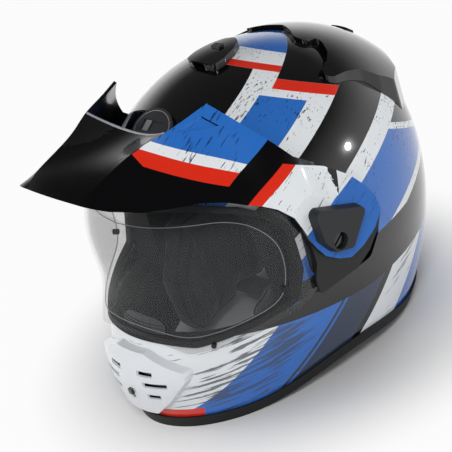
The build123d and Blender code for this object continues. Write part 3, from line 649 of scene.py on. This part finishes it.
def peakUnpainted(normal, middle):
    # inner walls of the raised sides, the underside and the cut edges
    side = peakFaces["outward"] * (1 if middle.x > 0 else -1)
    turned = normal.x * side + normal.z * peakFaces["upward"]
    return turned <= peakFaces["painted"] or abs(normal.y) >= peakFaces["cut"]


secondFinish("peak", "peakBlack", peakUnpainted)
print("solids finished:", sum(len(names) for names in solidFinishes.values()))


# node trees that grow what repeats or follows a line
def newGrowth(name, sizes):
    # a tree with a Geometry input, named sizes and a finish
    return newTree(name, "GeometryNodeTree", {"Geometry": "Geometry", **sizes, "Finish": "Material"},
                   {"Geometry": "Geometry"})


def endGrowth(tree, given, result, grown):
    # real faces, smooth, in the given finish
    real = put(tree, "GeometryNodeRealizeInstances", {"Geometry": grown})
    smoothed = put(tree, "GeometryNodeSetShadeSmooth", {"Geometry": real.outputs[0]})
    finished = put(tree, "GeometryNodeSetMaterial", {"Geometry": smoothed.outputs[0],
                                                     "Material": given["Finish"]})
    tree.links.new(finished.outputs[0], result["Geometry"])
    return tree


def evenCurve(tree, given):
    line = put(tree, "GeometryNodeMeshToCurve", {"Mesh": given["Geometry"]})
    return put(tree, "GeometryNodeResampleCurve", {"Curve": line.outputs[0], "Length": given["Spacing"]},
               mode="LENGTH").outputs[0]


def turnAlong(tree, direction):
    # stands an instance along the tangent or the normal of its point
    return put(tree, "FunctionNodeAlignRotationToVector", {"Vector": put(tree, direction).outputs[0]},
               axis="Z").outputs[0]


def makeBeadTree():
    # a round bead along a line
    tree, given, result = newGrowth("beadAlongLine", {"Radius": 0.001, "Sides": 8, "Spacing": 0.002})
    line = evenCurve(tree, given)
    ring = put(tree, "GeometryNodeCurvePrimitiveCircle", {"Resolution": given["Sides"],
                                                          "Radius": given["Radius"]})
    tube = put(tree, "GeometryNodeCurveToMesh", {"Curve": line, "Profile Curve": ring.outputs[0],
                                                 "Fill Caps": True})
    return endGrowth(tree, given, result, tube.outputs[0])


def makeStitchTree():
    # a row of stitches along a line
    tree, given, result = newGrowth("stitchesAlongLine", {
        "Spacing": 0.004, "Stitch Size": (0.0004, 0.0004, 0.0015)})
    stitch = put(tree, "GeometryNodeMeshUVSphere", {"Segments": 6, "Rings": 4, "Radius": 1.0})
    row = put(tree, "GeometryNodeInstanceOnPoints", {
        "Points": evenCurve(tree, given), "Instance": stitch.outputs["Mesh"],
        "Rotation": turnAlong(tree, "GeometryNodeInputTangent"), "Scale": given["Stitch Size"]})
    return endGrowth(tree, given, result, row.outputs[0])


def makeHoleTree():
    # a round hole's dark dish at each point of a sheet, facing along its normal
    tree, given, result = newGrowth("holesOnSheet", {"Radius": 0.0008, "Depth": 0.0002})
    dish = put(tree, "GeometryNodeMeshCylinder", {"Vertices": 8, "Radius": given["Radius"],
                                                  "Depth": given["Depth"]})
    field = put(tree, "GeometryNodeInstanceOnPoints", {
        "Points": given["Geometry"], "Instance": dish.outputs["Mesh"],
        "Rotation": turnAlong(tree, "GeometryNodeInputNormal")})
    return endGrowth(tree, given, result, field.outputs[0])


beadTree, stitchTree, holeTree = makeBeadTree(), makeStitchTree(), makeHoleTree()


def lineMesh(points, closed=False):
    count = len(points)
    edges = [(index, (index + 1) % count) for index in range(count if closed else count - 1)]
    mesh = bpy.data.meshes.new("line")
    mesh.from_pydata([tuple(point) for point in points], edges, [])
    return mesh


def growPiece(name, mesh, tree, body, finish, **values):
    # runs a tree on a line or sheet and keeps the result as a plain mesh
    values = {"Finish": finishes[finish], **values}
    carrier = addObject(name + "Base", mesh)
    growth = carrier.modifiers.new("growth", "NODES")
    growth.node_group = tree
    for item in tree.interface.items_tree:
        if item.item_type == "SOCKET" and item.in_out == "INPUT" and item.name in values:
            growth[item.identifier] = values[item.name]
    grown = bpy.data.meshes.new_from_object(carrier.evaluated_get(bpy.context.evaluated_depsgraph_get()))
    carrier.modifiers.remove(growth)
    bpy.data.objects.remove(carrier)
    piece = addObject(name, grown)
    piece["ridesOn"] = body
    return piece


def growBead(name, points, body, finish, sizes, closed=True):
    return growPiece(name, lineMesh(points, closed), beadTree, body, finish,
                     Radius=sizes["radius"], Sides=sizes["sides"], Spacing=sizes["spacing"])


def growStitches(name, points, stitch, closed=True):
    return growPiece(name, lineMesh(points, closed), stitchTree, "helmet", "thread",
                     **{"Spacing": stitch["spacing"], "Stitch Size": stitch["size"]})


def smoothLine(places, count):
    # evenly stepped points on a smooth curve through the given places
    points = [Vector(place) for place in places]
    total = len(points) - 1
    line = []
    for step in range(count):
        t = step / (count - 1) * total
        index = min(int(t), total - 1)
        f = t - index
        p0, p1 = points[max(index - 1, 0)], points[index]
        p2, p3 = points[index + 1], points[min(index + 2, total)]
        line.append(0.5 * ((2 * p1) + (p2 - p0) * f + (2 * p0 - 5 * p1 + 4 * p2 - p3) * f * f
                           + (3 * p1 - p0 - 3 * p2 + p3) * f * f * f))
    return line


def surfaceOf(piece):
    # for finding places on a piece by ray
    mesh = piece.data
    return BVHTree.FromPolygons([v.co for v in mesh.vertices], [tuple(p.vertices) for p in mesh.polygons])


def dropped(surface, starts, direction, sink):
    # where rays from the starts meet a surface, sunk along the ray
    way = Vector(direction)
    hits = [surface.ray_cast(Vector(start), way)[0] for start in starts]
    return [hit + way.normalized() * sink for hit in hits if hit]


# crown pad: quilted lining over the crown, between its edge line and the apex
crown = dict(edge=[(-0.103, 0.217), (-0.058, 0.178), (0.017, 0.150), (0.117, 0.141), (0.150, 0.146)],
             columns=144, rows=40, ribs=12, rings=3.0, ringPower=0.9, ringEnd=0.98, seamShare=0.35,
             ringShare=0.45, edgeSlope=9, thickness=0.0085, least=0.0006, offFoam=0.0003, topDrop=0.0015,
             hem=0.003, tuck=0.9, firstHeight=0.17, tries=12)


def edgeHeight(y):
    line = crown["edge"]
    for (y0, z0), (y1, z1) in zip(line, line[1:]):
        if y <= y1:
            return z0 + (z1 - z0) * smooth((y - y0) / (y1 - y0)) if y > y0 else z0
    return line[-1][1]


def crownEdge(angle):
    # height of the pad's edge at an angle, found in a few tries
    height = crown["firstHeight"]
    for step in range(crown["tries"]):
        height = edgeHeight(formPoint(height, angle, padSizes["outer"]).y)
    return height


def quiltShare(angle, rise):
    # share of the pad's thickness between its seams
    channel = abs(math.sin(crown["ribs"] * angle / 2)) ** 0.5
    ring = 1.0
    if rise < crown["ringEnd"]:
        ring = abs(math.sin(math.pi * (rise * crown["rings"]) ** crown["ringPower"])) ** 0.5
    seam, low = crown["seamShare"], crown["ringShare"]
    full = seam + (1 - seam) * channel * (low + (1 - low) * ring)
    return full * min(rise * crown["edgeSlope"], 1.0) ** 0.5


def makeCrownPad():
    outer, inner = [], []
    rows, columns, hem = crown["rows"], crown["columns"], crown["hem"]
    skin = padSizes["outer"] - crown["offFoam"]
    top = formSizes["height"] + padSizes["outer"] - crown["topDrop"]
    angles = [2 * math.pi * column / columns for column in range(columns)]
    edges = [crownEdge(angle) for angle in angles]
    for row in range(rows):
        rise = row / (rows - 1)
        for angle, low in zip(angles, edges):
            height = low + hem + (top - low - hem) * math.sin(rise * math.pi / 2)
            depth = max(crown["thickness"] * quiltShare(angle, rise), crown["least"])
            outer.append(formPoint(height, angle, skin))
            inner.append(formPoint(min(height, top - depth * crown["tuck"]), angle, skin - depth))
    middle = formSizes["shift"] + formSizes["lean"]
    outer.append(Vector((0, middle, top)))
    inner.append(Vector((0, middle, top - crown["thickness"])))
    faces = cushionFaces(rows, columns, rimRow=0, tipRow=rows - 1)
    return outwardFaces(newObject("crownLining", outer + inner, faces, "linerKnit"))


# cheek pads: crowned cushions that swell in the cloth solver, on the side outline that the solids have
cheek = dict(outline=[(-0.0560, 0.0140), (-0.0030, 0.0150), (0.0026, 0.0233), (0.0380, 0.0222),
                      (0.0505, 0.0530), (0.0426, 0.1113), (-0.0347, 0.1113), (-0.0485, 0.0875),
                      (-0.0651, 0.0716), (-0.0665, 0.0280)],
             middle=(-0.005, 0.064), corner=0.004, cornerSteps=4, rings=18, around=110, voxel=0.0045,
             swell=0.003, offFoam=0.0008, edgeDepth=0.001, swellRoom=0.003, edgePower=18, fall=0.06,
             middleRise=0.001, channel=[(-0.030, 0.018), (-0.020, 0.060), (-0.024, 0.108)], channelCount=40,
             channelWidth=0.0028, channelDepth=0.0022, facing=-0.3)
cheekPiping = dict(inset=0.0055, radius=0.0010, sides=8, spacing=0.002)
cheekStitch = dict(inset=0.0100, spacing=0.0036, size=(0.0003, 0.0003, 0.0012))
cheekTrimLine = dict(count=160, sink=0.0002)


def roundedOutline(corners, radius, count):
    # evenly stepped points on a closed outline whose corners are cut round
    points = []
    total, steps = len(corners), cheek["cornerSteps"]
    for index in range(total):
        before, here, after = (Vector(corners[(index + k) % total]) for k in (-1, 0, 1))
        reach = min(radius, (before - here).length / 2, (after - here).length / 2)
        first = here + (before - here).normalized() * reach
        last = here + (after - here).normalized() * reach
        for step in range(steps + 1):
            t = step / steps
            points.append(first * (1 - t) ** 2 + here * (2 * t * (1 - t)) + last * t ** 2)
    lengths = [0.0]
    for index in range(len(points)):
        lengths.append(lengths[-1] + (points[(index + 1) % len(points)] - points[index]).length)
    even = []
    index = 0
    for step in range(count):
        place = lengths[-1] * step / count
        while lengths[index + 1] < place:
            index += 1
        share = (place - lengths[index]) / max(lengths[index + 1] - lengths[index], tiny)
        even.append(points[index].lerp(points[(index + 1) % len(points)], share))
    return even


def cheekEdge(inset, count):
    middle = Vector(cheek["middle"])
    return [point + (middle - point).normalized() * inset
            for point in roundedOutline(cheek["outline"], cheek["corner"], count)]


def makeCheekPad(name, side):
    rings, around = cheek["rings"], cheek["around"]
    middle = Vector(cheek["middle"])
    edge = cheekEdge(0.0, around)
    skin = padSizes["outer"] - cheek["offFoam"]
    fullDepth = padSizes["cheekThickness"] - cheek["swellRoom"]
    outer, inner = [], []
    for ring in range(1, rings + 1):
        share = math.sin(math.pi / 2 * ring / rings)
        depth = cheek["edgeDepth"] + (fullDepth * (1 - share ** cheek["edgePower"]) ** 0.5
                                      * (1 - cheek["fall"] * share ** 2))
        for point in edge:
            y, z = middle.lerp(point, share)
            outer.append(sidePoint(y, z, skin, side))
            inner.append(sidePoint(y, z, skin - depth, side))
    outer.append(sidePoint(*middle, skin, side))
    inner.append(sidePoint(*middle, skin - cheek["edgeDepth"] - fullDepth - cheek["middleRise"], side))
    faces = cushionFaces(rings, around, rimRow=rings - 1, tipRow=0)
    return outwardFaces(newObject(name, outer + inner, faces, "linerKnit"))


def sewCheekPad(pad):
    # one subdivision, then the sewn channel pressed into the face toward the wearer
    finer = softFinish(pad)
    bpy.context.view_layer.objects.active = pad
    bpy.ops.object.modifier_apply(modifier=finer.name)
    line = smoothLine(cheek["channel"], cheek["channelCount"])
    for vertex in pad.data.vertices:
        if vertex.normal.x > cheek["facing"]:
            continue
        away = min((Vector((vertex.co.y, vertex.co.z)) - place).length for place in line)
        vertex.co.x += cheek["channelDepth"] * math.exp(-(away / cheek["channelWidth"]) ** 2)
    return pad


def mirroredPad(pad, name):
    mesh = pad.data.copy()
    mesh.transform(Matrix.Scale(-1, 4, Vector((1, 0, 0))))
    mesh.flip_normals()
    piece = addObject(name, mesh)
    piece["ridesOn"] = "helmet"
    return piece


def makeCheekTrim(pad, side, label):
    # piping round the face toward the wearer, and stitches inside it
    surface = surfaceOf(pad)
    pipingLine, stitchLine = (
        dropped(surface, [(0, *place) for place in cheekEdge(trim["inset"], cheekTrimLine["count"])],
                (side, 0, 0), cheekTrimLine["sink"]) for trim in (cheekPiping, cheekStitch))
    growBead("cheekPiping" + label, pipingLine, "helmet", "trimVinyl", cheekPiping)
    growStitches("cheekStitches" + label, stitchLine, cheekStitch)


swelling = dict(pressure=4, quality=4, frames=20)


def swellPad(pad, voxel, cap):
    # the cloth solver blows the pad up a little, each point kept within the cap
    bpy.context.view_layer.objects.active = pad
    for other in bpy.context.selected_objects:
        other.select_set(False)
    pad.select_set(True)
    remesh = pad.modifiers.new("evenMesh", "REMESH")
    remesh.mode = "VOXEL"
    remesh.voxel_size = voxel
    bpy.ops.object.modifier_apply(modifier=remesh.name)
    start = [v.co.copy() for v in pad.data.vertices]
    cloth = pad.modifiers.new("swell", "CLOTH")
    cloth.settings.use_pressure = True
    cloth.settings.uniform_pressure_force = swelling["pressure"]
    cloth.settings.effector_weights.gravity = 0
    cloth.settings.quality = swelling["quality"]
    cloth.point_cache.frame_start, cloth.point_cache.frame_end = 1, swelling["frames"]
    for number in range(1, swelling["frames"] + 1):
        bpy.context.scene.frame_set(number)
    bpy.ops.object.modifier_apply(modifier=cloth.name)
    bpy.context.scene.frame_set(1)
    for vertex, before in zip(pad.data.vertices, start):
        move = vertex.co - before
        if move.length > cap:
            vertex.co = before + move * (cap / move.length)
    for polygon in pad.data.polygons:
        polygon.use_smooth = True
    return pad


def boxMap(piece, size):
    # UV map from the facing side of each face, in tiles of a size
    mesh = piece.data
    layer = mesh.uv_layers.new(name="cloth")
    for polygon in mesh.polygons:
        lead = max(range(3), key=lambda axis: abs(polygon.normal[axis]))
        first, second = [(1, 2), (0, 2), (0, 1)][lead]
        for index in polygon.loop_indices:
            place = mesh.vertices[mesh.loops[index].vertex_index].co
            layer.data[index].uv = (place[first] / size, place[second] / size)


# neck roll round the nape
roll = dict(angles=(0.30, math.pi - 0.30), heights=(0.019, 0.064), stations=90, ring=20, thickness=0.0125,
            offFoam=0.0006, voxel=0.0035, swell=0.001, endSlope=3.0, endHeight=0.35, endDepth=0.3,
            wrinkles=14, wrinkleDepth=0.05, acrossPower=0.55, risePower=0.75)


def boxed(value, power):
    # a sine or cosine drawn toward its ends, with its sign kept
    return abs(value) ** power * (1 if value > 0 else -1)


def makeNeckRoll():
    r = roll
    vertices = []
    middle = (r["heights"][0] + r["heights"][1]) / 2
    for station in range(r["stations"]):
        share = station / (r["stations"] - 1)
        angle = r["angles"][0] + (r["angles"][1] - r["angles"][0]) * share
        taper = min(math.sin(math.pi * share) * r["endSlope"], 1.0) ** 0.5
        wrinkle = 1 - r["wrinkleDepth"] * abs(math.sin(share * math.pi * r["wrinkles"]))
        half = (r["heights"][1] - r["heights"][0]) / 2 * (r["endHeight"] + (1 - r["endHeight"]) * taper)
        depth = r["thickness"] / 2 * (r["endDepth"] + (1 - r["endDepth"]) * taper) * wrinkle
        for step in range(r["ring"]):
            turn = 2 * math.pi * step / r["ring"]
            across = boxed(math.cos(turn), r["acrossPower"])
            rise = boxed(math.sin(turn), r["risePower"])
            grow = padSizes["outer"] - r["offFoam"] - r["thickness"] / 2 + across * depth
            vertices.append(formPoint(middle + rise * half, angle, grow))
    return outwardFaces(newObject("neckRoll", vertices, tubeFaces(r["stations"], r["ring"]), "linerKnit"))


# vinyl lining that closes the foam at the rim: its profile as inset and rise over the rim's lower edge,
# which lifts along the helmet from the start to the top and falls to the end
lining = dict(columns=180, profile=[(-0.0078, 0.0098), (-0.010, 0.0084), (-0.016, 0.0082), (-0.0235, 0.0086),
                                    (-0.0235, 0.0106), (-0.016, 0.0108), (-0.0078, 0.0108)],
              height=0.02, start=-0.125, top=-0.016, end=0.096, lift=0.015, stitchLine=(-0.0125, 0.0081),
              stitch=dict(spacing=0.0042, size=(0.00035, 0.00035, 0.0015)))


def rimPoint(angle, grow, rise):
    # a place over the rim's lower edge
    y = formPoint(lining["height"], angle, grow).y - formSizes["shift"]
    if y < lining["top"]:
        share = (y - lining["start"]) / (lining["top"] - lining["start"])
    else:
        share = (lining["end"] - y) / (lining["end"] - lining["top"])
    return formPoint(lining["lift"] * smooth(share) + rise, angle, grow)


def makeRimLining():
    columns, profile = lining["columns"], lining["profile"]
    vertices = [rimPoint(2 * math.pi * column / columns, grow, rise)
                for column in range(columns) for grow, rise in profile]
    faces = gridFaces(columns, len(profile), wrapColumns=True, wrapRows=True)
    return outwardFaces(newObject("rimLining", vertices, faces, "trimVinyl"))


def makeRimStitches():
    # a row of stitches on the underside of the lining
    line = [rimPoint(math.pi * column / lining["columns"], *lining["stitchLine"])
            for column in range(lining["columns"] * 2)]
    growStitches("rimStitches", line, lining["stitch"])


# chin strap: webbing on the same line as the solids
strap = dict(width=0.025, thickness=0.002, middle=0.01867, anchorHeight=0.019, anchorReach=0.0968,
             buckle=(0.030, 0.013), ringDepth=0.018, fold=0.002825, tail=0.045, buckleLift=0.0004,
             shares=[(0.0, 0.0), (0.25, 0.5), (0.6, 0.85), (1.0, 1.0)],
             profile=[(-0.5, -0.28), (-0.47, -0.5), (0.47, -0.5), (0.5, -0.28), (0.5, 0.28), (0.47, 0.5),
                      (-0.47, 0.5), (-0.5, 0.28)],
             longSteps=28, shortSteps=20, foldSteps=12, tailSteps=10, turnSteps=20)
sewnBox = dict(half=0.0085, start=0.010, reach=0.016, ends=(0.012, 0.032), steps=12, runSteps=60,
               slopeSteps=(5, 10), proud=0.0001,
               stitch=dict(spacing=0.0022, size=(0.00025, 0.00025, 0.0008)))


def strapRun(startX, endX, endZ, count):
    # from an anchor to the buckle
    startZ = strap["anchorHeight"]
    return smoothLine([(startX + (endX - startX) * a, 0, startZ + (endZ - startZ) * b)
                       for a, b in strap["shares"]], count)


def makeWebbing(name, line):
    # a flat strap with rounded selvedges along a line in the X-Z plane
    profile, width = strap["profile"], strap["width"]
    vertices = []
    for index, point in enumerate(line):
        run = (line[min(index + 1, len(line) - 1)] - line[max(index - 1, 0)]).normalized()
        side = Vector((-run.z, 0, run.x))
        for across, up in profile:
            vertices.append(point + Vector((0, strap["middle"] + across * width, 0))
                            + side * (up * strap["thickness"]))
    columns = len(profile)
    piece = newObject(name, vertices, tubeFaces(len(line), columns), "webbing")
    layer = piece.data.uv_layers.new(name="cloth")
    lengths = [0.0]
    for a, b in zip(line, line[1:]):
        lengths.append(lengths[-1] + (b - a).length)
    for loop in piece.data.loops:
        row, place = divmod(loop.vertex_index, columns)
        layer.data[loop.index].uv = (profile[place][0] + 0.5, lengths[row] / width)
    return outwardFaces(piece), lengths[-1]


def makeStraps():
    x, z = strap["buckle"]
    bow = x - strap["ringDepth"]
    centre = strap["fold"] + strap["thickness"] / 2
    line = strapRun(-strap["anchorReach"], bow, z + centre, strap["longSteps"])
    for step in range(1, strap["foldSteps"]):
        turn = math.pi / 2 - math.pi * step / strap["foldSteps"]
        line.append(Vector((bow + centre * math.cos(turn), 0, z + centre * math.sin(turn))))
    for step in range(strap["tailSteps"]):
        line.append(Vector((bow - strap["tail"] * step / (strap["tailSteps"] - 1), 0, z - centre)))
    longStrap, longLength = makeWebbing("strapLong", line)
    line = strapRun(strap["anchorReach"], x + centre, z + strap["buckleLift"], strap["shortSteps"])
    for step in range(1, strap["turnSteps"]):
        turn = -2 * math.pi * step / strap["turnSteps"]
        line.append(Vector((x + centre * math.cos(turn), 0, z + centre * math.sin(turn))))
    shortStrap, shortLength = makeWebbing("strapShort", line)
    return longStrap, longLength, shortStrap, shortLength


def makeStrapStitches(name, way, endX):
    # a sewn box with a cross where a strap is folded over its anchor
    box, startX = sewnBox, -way * strap["anchorReach"]
    run = strapRun(startX, endX, strap["buckle"][1], box["runSteps"])
    low, high = (run[step] for step in box["slopeSteps"])
    slope = (high.z - low.z) / (high.x - low.x)
    start, end, half = box["start"], box["start"] + box["reach"], box["half"]
    corners = [(start, -half), (start, half), (end, half), (end, -half)]
    path = [corners[k] for k in (0, 1, 2, 3, 0, 2, 3, 1)]
    points = []
    for (a0, b0), (a1, b1) in zip(path, path[1:]):
        for step in range(box["steps"]):
            along = a0 + (a1 - a0) * step / box["steps"]
            across = b0 + (b1 - b0) * step / box["steps"]
            x = startX + way * along
            place = min(run, key=lambda point: abs(point.x - x))
            height = place.z + (x - place.x) * slope - strap["thickness"] / 2 - box["proud"]
            points.append(Vector((x, strap["middle"] + across, height)))
    growStitches(name, points, box["stitch"], closed=False)


# breath guard over the foam of the chin bar, with staggered rows of perforations in its outer face
guard = dict(angles=(-1.80, -1.34), heights=(0.0798, 0.0975), columns=40, rows=14, grow=-0.00475,
             thickness=0.0014, cornerDrop=0.006, waveDepth=0.00025, waves=40)
guardHoles = dict(rows=5, columns=34, start=0.003, spacing=0.0022, lift=0.0001, radius=0.0006, depth=0.0003)


def guardPoint(share, height, grow):
    first, last = guard["angles"]
    return formPoint(height, first + (last - first) * share, grow)


def makeBreathGuard():
    vertices = []
    rows, columns = guard["rows"], guard["columns"]
    low = guard["heights"][0]
    for layer in (0, 1):
        for row in range(rows):
            rise = row / (rows - 1)
            for column in range(columns):
                share = column / (columns - 1)
                top = guard["heights"][1] - guard["cornerDrop"] * abs(2 * share - 1) ** 4
                wave = guard["waveDepth"] * math.sin(share * guard["waves"]) * rise
                grow = guard["grow"] - guard["thickness"] * layer + wave
                vertices.append(guardPoint(share, low + (top - low) * rise, grow))
    faces = gridFaces(rows, columns)
    count = rows * columns
    faces += [tuple(index + count for index in reversed(face)) for face in faces]
    rim = [c for c in range(columns)] + [r * columns + columns - 1 for r in range(1, rows)]
    rim += [(rows - 1) * columns + c for c in range(columns - 2, -1, -1)]
    rim += [r * columns for r in range(rows - 2, 0, -1)]
    for index, start in enumerate(rim):
        after = rim[(index + 1) % len(rim)]
        faces.append((start, start + count, after + count, after))
    return outwardFaces(newObject("breathGuard", vertices, faces, "airMesh"))


def makeGuardHoles():
    rows, columns = guardHoles["rows"], guardHoles["columns"]
    vertices = []
    for row in range(rows):
        height = guard["heights"][0] + guardHoles["start"] + (row + 0.5) * guardHoles["spacing"]
        for column in range(columns):
            share = (column + 0.5 + 0.5 * (row % 2)) / (columns + 0.5)
            vertices.append(guardPoint(share, height, guard["grow"] + guardHoles["lift"]))
    sheet = bpy.data.meshes.new("guardHolePlaces")
    sheet.from_pydata([tuple(v) for v in vertices], [], gridFaces(rows, columns))
    growPiece("breathGuardHoles", sheet, holeTree, "helmet", "beadFoam", Radius=guardHoles["radius"],
              Depth=guardHoles["depth"])


crownPad = makeCrownPad()
cheekLeft = sewCheekPad(swellPad(makeCheekPad("cheekPadLeft", 1), cheek["voxel"], cheek["swell"]))
neckRoll = swellPad(makeNeckRoll(), roll["voxel"], roll["swell"])
cheekRight = mirroredPad(cheekLeft, "cheekPadRight")
makeCheekTrim(cheekLeft, 1, "Left")
makeCheekTrim(cheekRight, -1, "Right")
rimLining = makeRimLining()
makeRimStitches()
breathGuard = makeBreathGuard()
makeGuardHoles()
strapLong, longLength, strapShort, shortLength = makeStraps()
makeStrapStitches("strapStitchesLong", 1, sewnBox["ends"][0])
makeStrapStitches("strapStitchesShort", -1, sewnBox["ends"][1])
clothTiles = ((crownPad, 0.08), (cheekLeft, 0.08), (cheekRight, 0.08), (neckRoll, 0.08), (rimLining, 0.1),
              (breathGuard, 0.06))
for piece, tile in clothTiles:
    boxMap(piece, tile)
softFinish(crownPad)
softFinish(rimLining)
print("soft pieces made")

# seal bead round the inner lens, in the air space between lens and shield, which widens upward
lensSeal = dict(outline=[(-0.1466, 0.0972), (-0.1423, 0.0940), (-0.1285, 0.0888), (-0.0958, 0.0946),
                         (-0.0716, 0.1030), (-0.0622, 0.1195), (-0.0607, 0.1505), (-0.0702, 0.1713),
                         (-0.0850, 0.1817), (-0.1037, 0.1842), (-0.1270, 0.1846)],
                count=300, airMiddle=0.0005, radius=0.00035, sides=6, spacing=0.002)
shieldAir = dict(least=0.0045, more=0.005, low=0.095, rise=0.07)


def shieldGap(height):
    return shieldAir["least"] + shieldAir["more"] * smooth((height - shieldAir["low"]) / shieldAir["rise"])


def makeLensSeal():
    left = [sidePoint(y, z, shieldGap(z) - lensSeal["airMiddle"])
            for y, z in smoothLine(lensSeal["outline"], lensSeal["count"])]
    right = [Vector((-point.x, point.y, point.z)) for point in reversed(left) if point.x > 0]
    growBead("lensSeal", left + right, "shield", "lensSeal", lensSeal)


# peak's notch lip in painted-highlight grey, and a raised ring on the brow vent, both laid on from above
above, down = 0.4, (0, 0, -1)
lip = dict(line=[(-0.052, -0.0863), (-0.030, -0.0830), (0.0, -0.0813), (0.030, -0.0830), (0.052, -0.0863)],
           back=0.0022, count=60, radius=0.0011, sides=8, spacing=0.002)
ventRing = dict(middle=(0.0, -0.0651), halfWidth=0.0206, halfLength=0.0129, count=80, sink=0.0006,
                radius=0.0007, sides=8, spacing=0.0015)


def makePeakLip():
    starts = [(x, y - lip["back"], above) for x, y in smoothLine(lip["line"], lip["count"])]
    points = dropped(surfaceOf(nodes["peak"]), starts, down, 0.0)
    growBead("peakLip", points, "peak", "lipHighlightGrey", lip, closed=False)


def makeVentRing():
    x, y = ventRing["middle"]
    turns = [2 * math.pi * step / ventRing["count"] for step in range(ventRing["count"])]
    starts = [(x + ventRing["halfWidth"] * math.cos(turn), y + ventRing["halfLength"] * math.sin(turn), above)
              for turn in turns]
    points = dropped(surfaceOf(nodes["brow_vent"]), starts, down, ventRing["sink"])
    growBead("browVentRing", points, "helmet", "ventPale", ventRing)


makeLensSeal()
makePeakLip()
makeVentRing()
print("trim grown on lines")

pieces = [p for p in bpy.context.scene.objects if "ridesOn" in p]
for piece in pieces:
    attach(piece, piece["ridesOn"])
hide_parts("crown_pad")
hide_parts("cheek_pad_left")
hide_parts("cheek_pad_right")
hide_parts("neck_roll")
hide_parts("breath_guard")
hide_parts("strap_long")
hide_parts("strap_short")

# floor, backdrop and lights; lights by place, size, power and shape, all turned to the helmet's middle
stage = dict(floor=ink(212, 212, 214), reach=6, shade=(0.10, 0.25), glow=0.95, aim=(0, 0, 0.15),
             sky=(0.06, 0.55), skyStrength=(1.0, 0.10))
lights = dict(
    keyLight=((1.5, -1.1, 1.9), 0.7, 30, "SQUARE"),
    fillLight=((-1.5, -1.3, 1.2), 0.9, 12, "SQUARE"),
    rearLight=((1.4096, 1.5314, 0.476), 0.12, 6, "DISK"))


def makeLight(name, place, size, power, shape):
    data = bpy.data.lights.new(name, "AREA")
    data.energy = power
    data.size = size
    data.shape = shape
    lamp = addObject(name, data)
    away = (Vector(place) - Vector(stage["aim"])).normalized()
    lamp.matrix_world = Matrix.Translation(place) @ away.to_track_quat("Z", "Y").to_matrix().to_4x4()


def makeFloor():
    mesh = bpy.data.meshes.new("floor")
    reach = stage["reach"]
    mesh.from_pydata([(-reach, -reach, 0), (reach, -reach, 0), (reach, reach, 0), (-reach, reach, 0)], [],
                     [(0, 1, 2, 3)])
    material, tree, shader = newMaterial("paleFloor", Roughness=0.9, Base_Color=stage["floor"])
    rays = put(tree, "ShaderNodeLightPath").outputs
    glow = put(tree, "ShaderNodeEmission", {"Color": (1, 1, 1, 1), "Strength": 1.0})
    seen = maths(tree, "MAXIMUM", rays["Is Camera Ray"], rays["Is Glossy Ray"])
    seen = maths(tree, "MAXIMUM", seen, rays["Is Transmission Ray"])
    # the floor's own shade is left right under the helmet
    place = put(tree, "ShaderNodeVectorMath", {0: objectCoords(tree)}, operation="LENGTH").outputs["Value"]
    clear = maths(tree, "MULTIPLY", ramp(tree, place, *stage["shade"]), stage["glow"])
    mixed = put(tree, "ShaderNodeMixShader", {0: maths(tree, "MULTIPLY", seen, clear),
                                              1: shader.outputs[0], 2: glow.outputs[0]})
    tree.links.new(mixed.outputs[0], tree.nodes["Material Output"].inputs["Surface"])
    mesh.materials.append(material)
    addObject("floor", mesh)


def makeSky():
    # pale all round, dimmer overhead as in a studio with a dark ceiling
    world = bpy.data.worlds.new("studio")
    bpy.context.scene.world = world
    world.use_nodes = True
    tree = world.node_tree
    sky = put(tree, "ShaderNodeSeparateXYZ", {0: put(tree, "ShaderNodeTexCoord").outputs["Generated"]})
    background = tree.nodes["Background"].inputs
    plug(tree, background["Color"], (1, 1, 1, 1))
    plug(tree, background["Strength"], ramp(tree, sky.outputs[2], *stage["sky"], *stage["skyStrength"]))


makeFloor()
makeSky()
for name, values in lights.items():
    makeLight(name, *values)
scene = bpy.context.scene
scene.view_settings.view_transform = "Standard"
print("stage made")
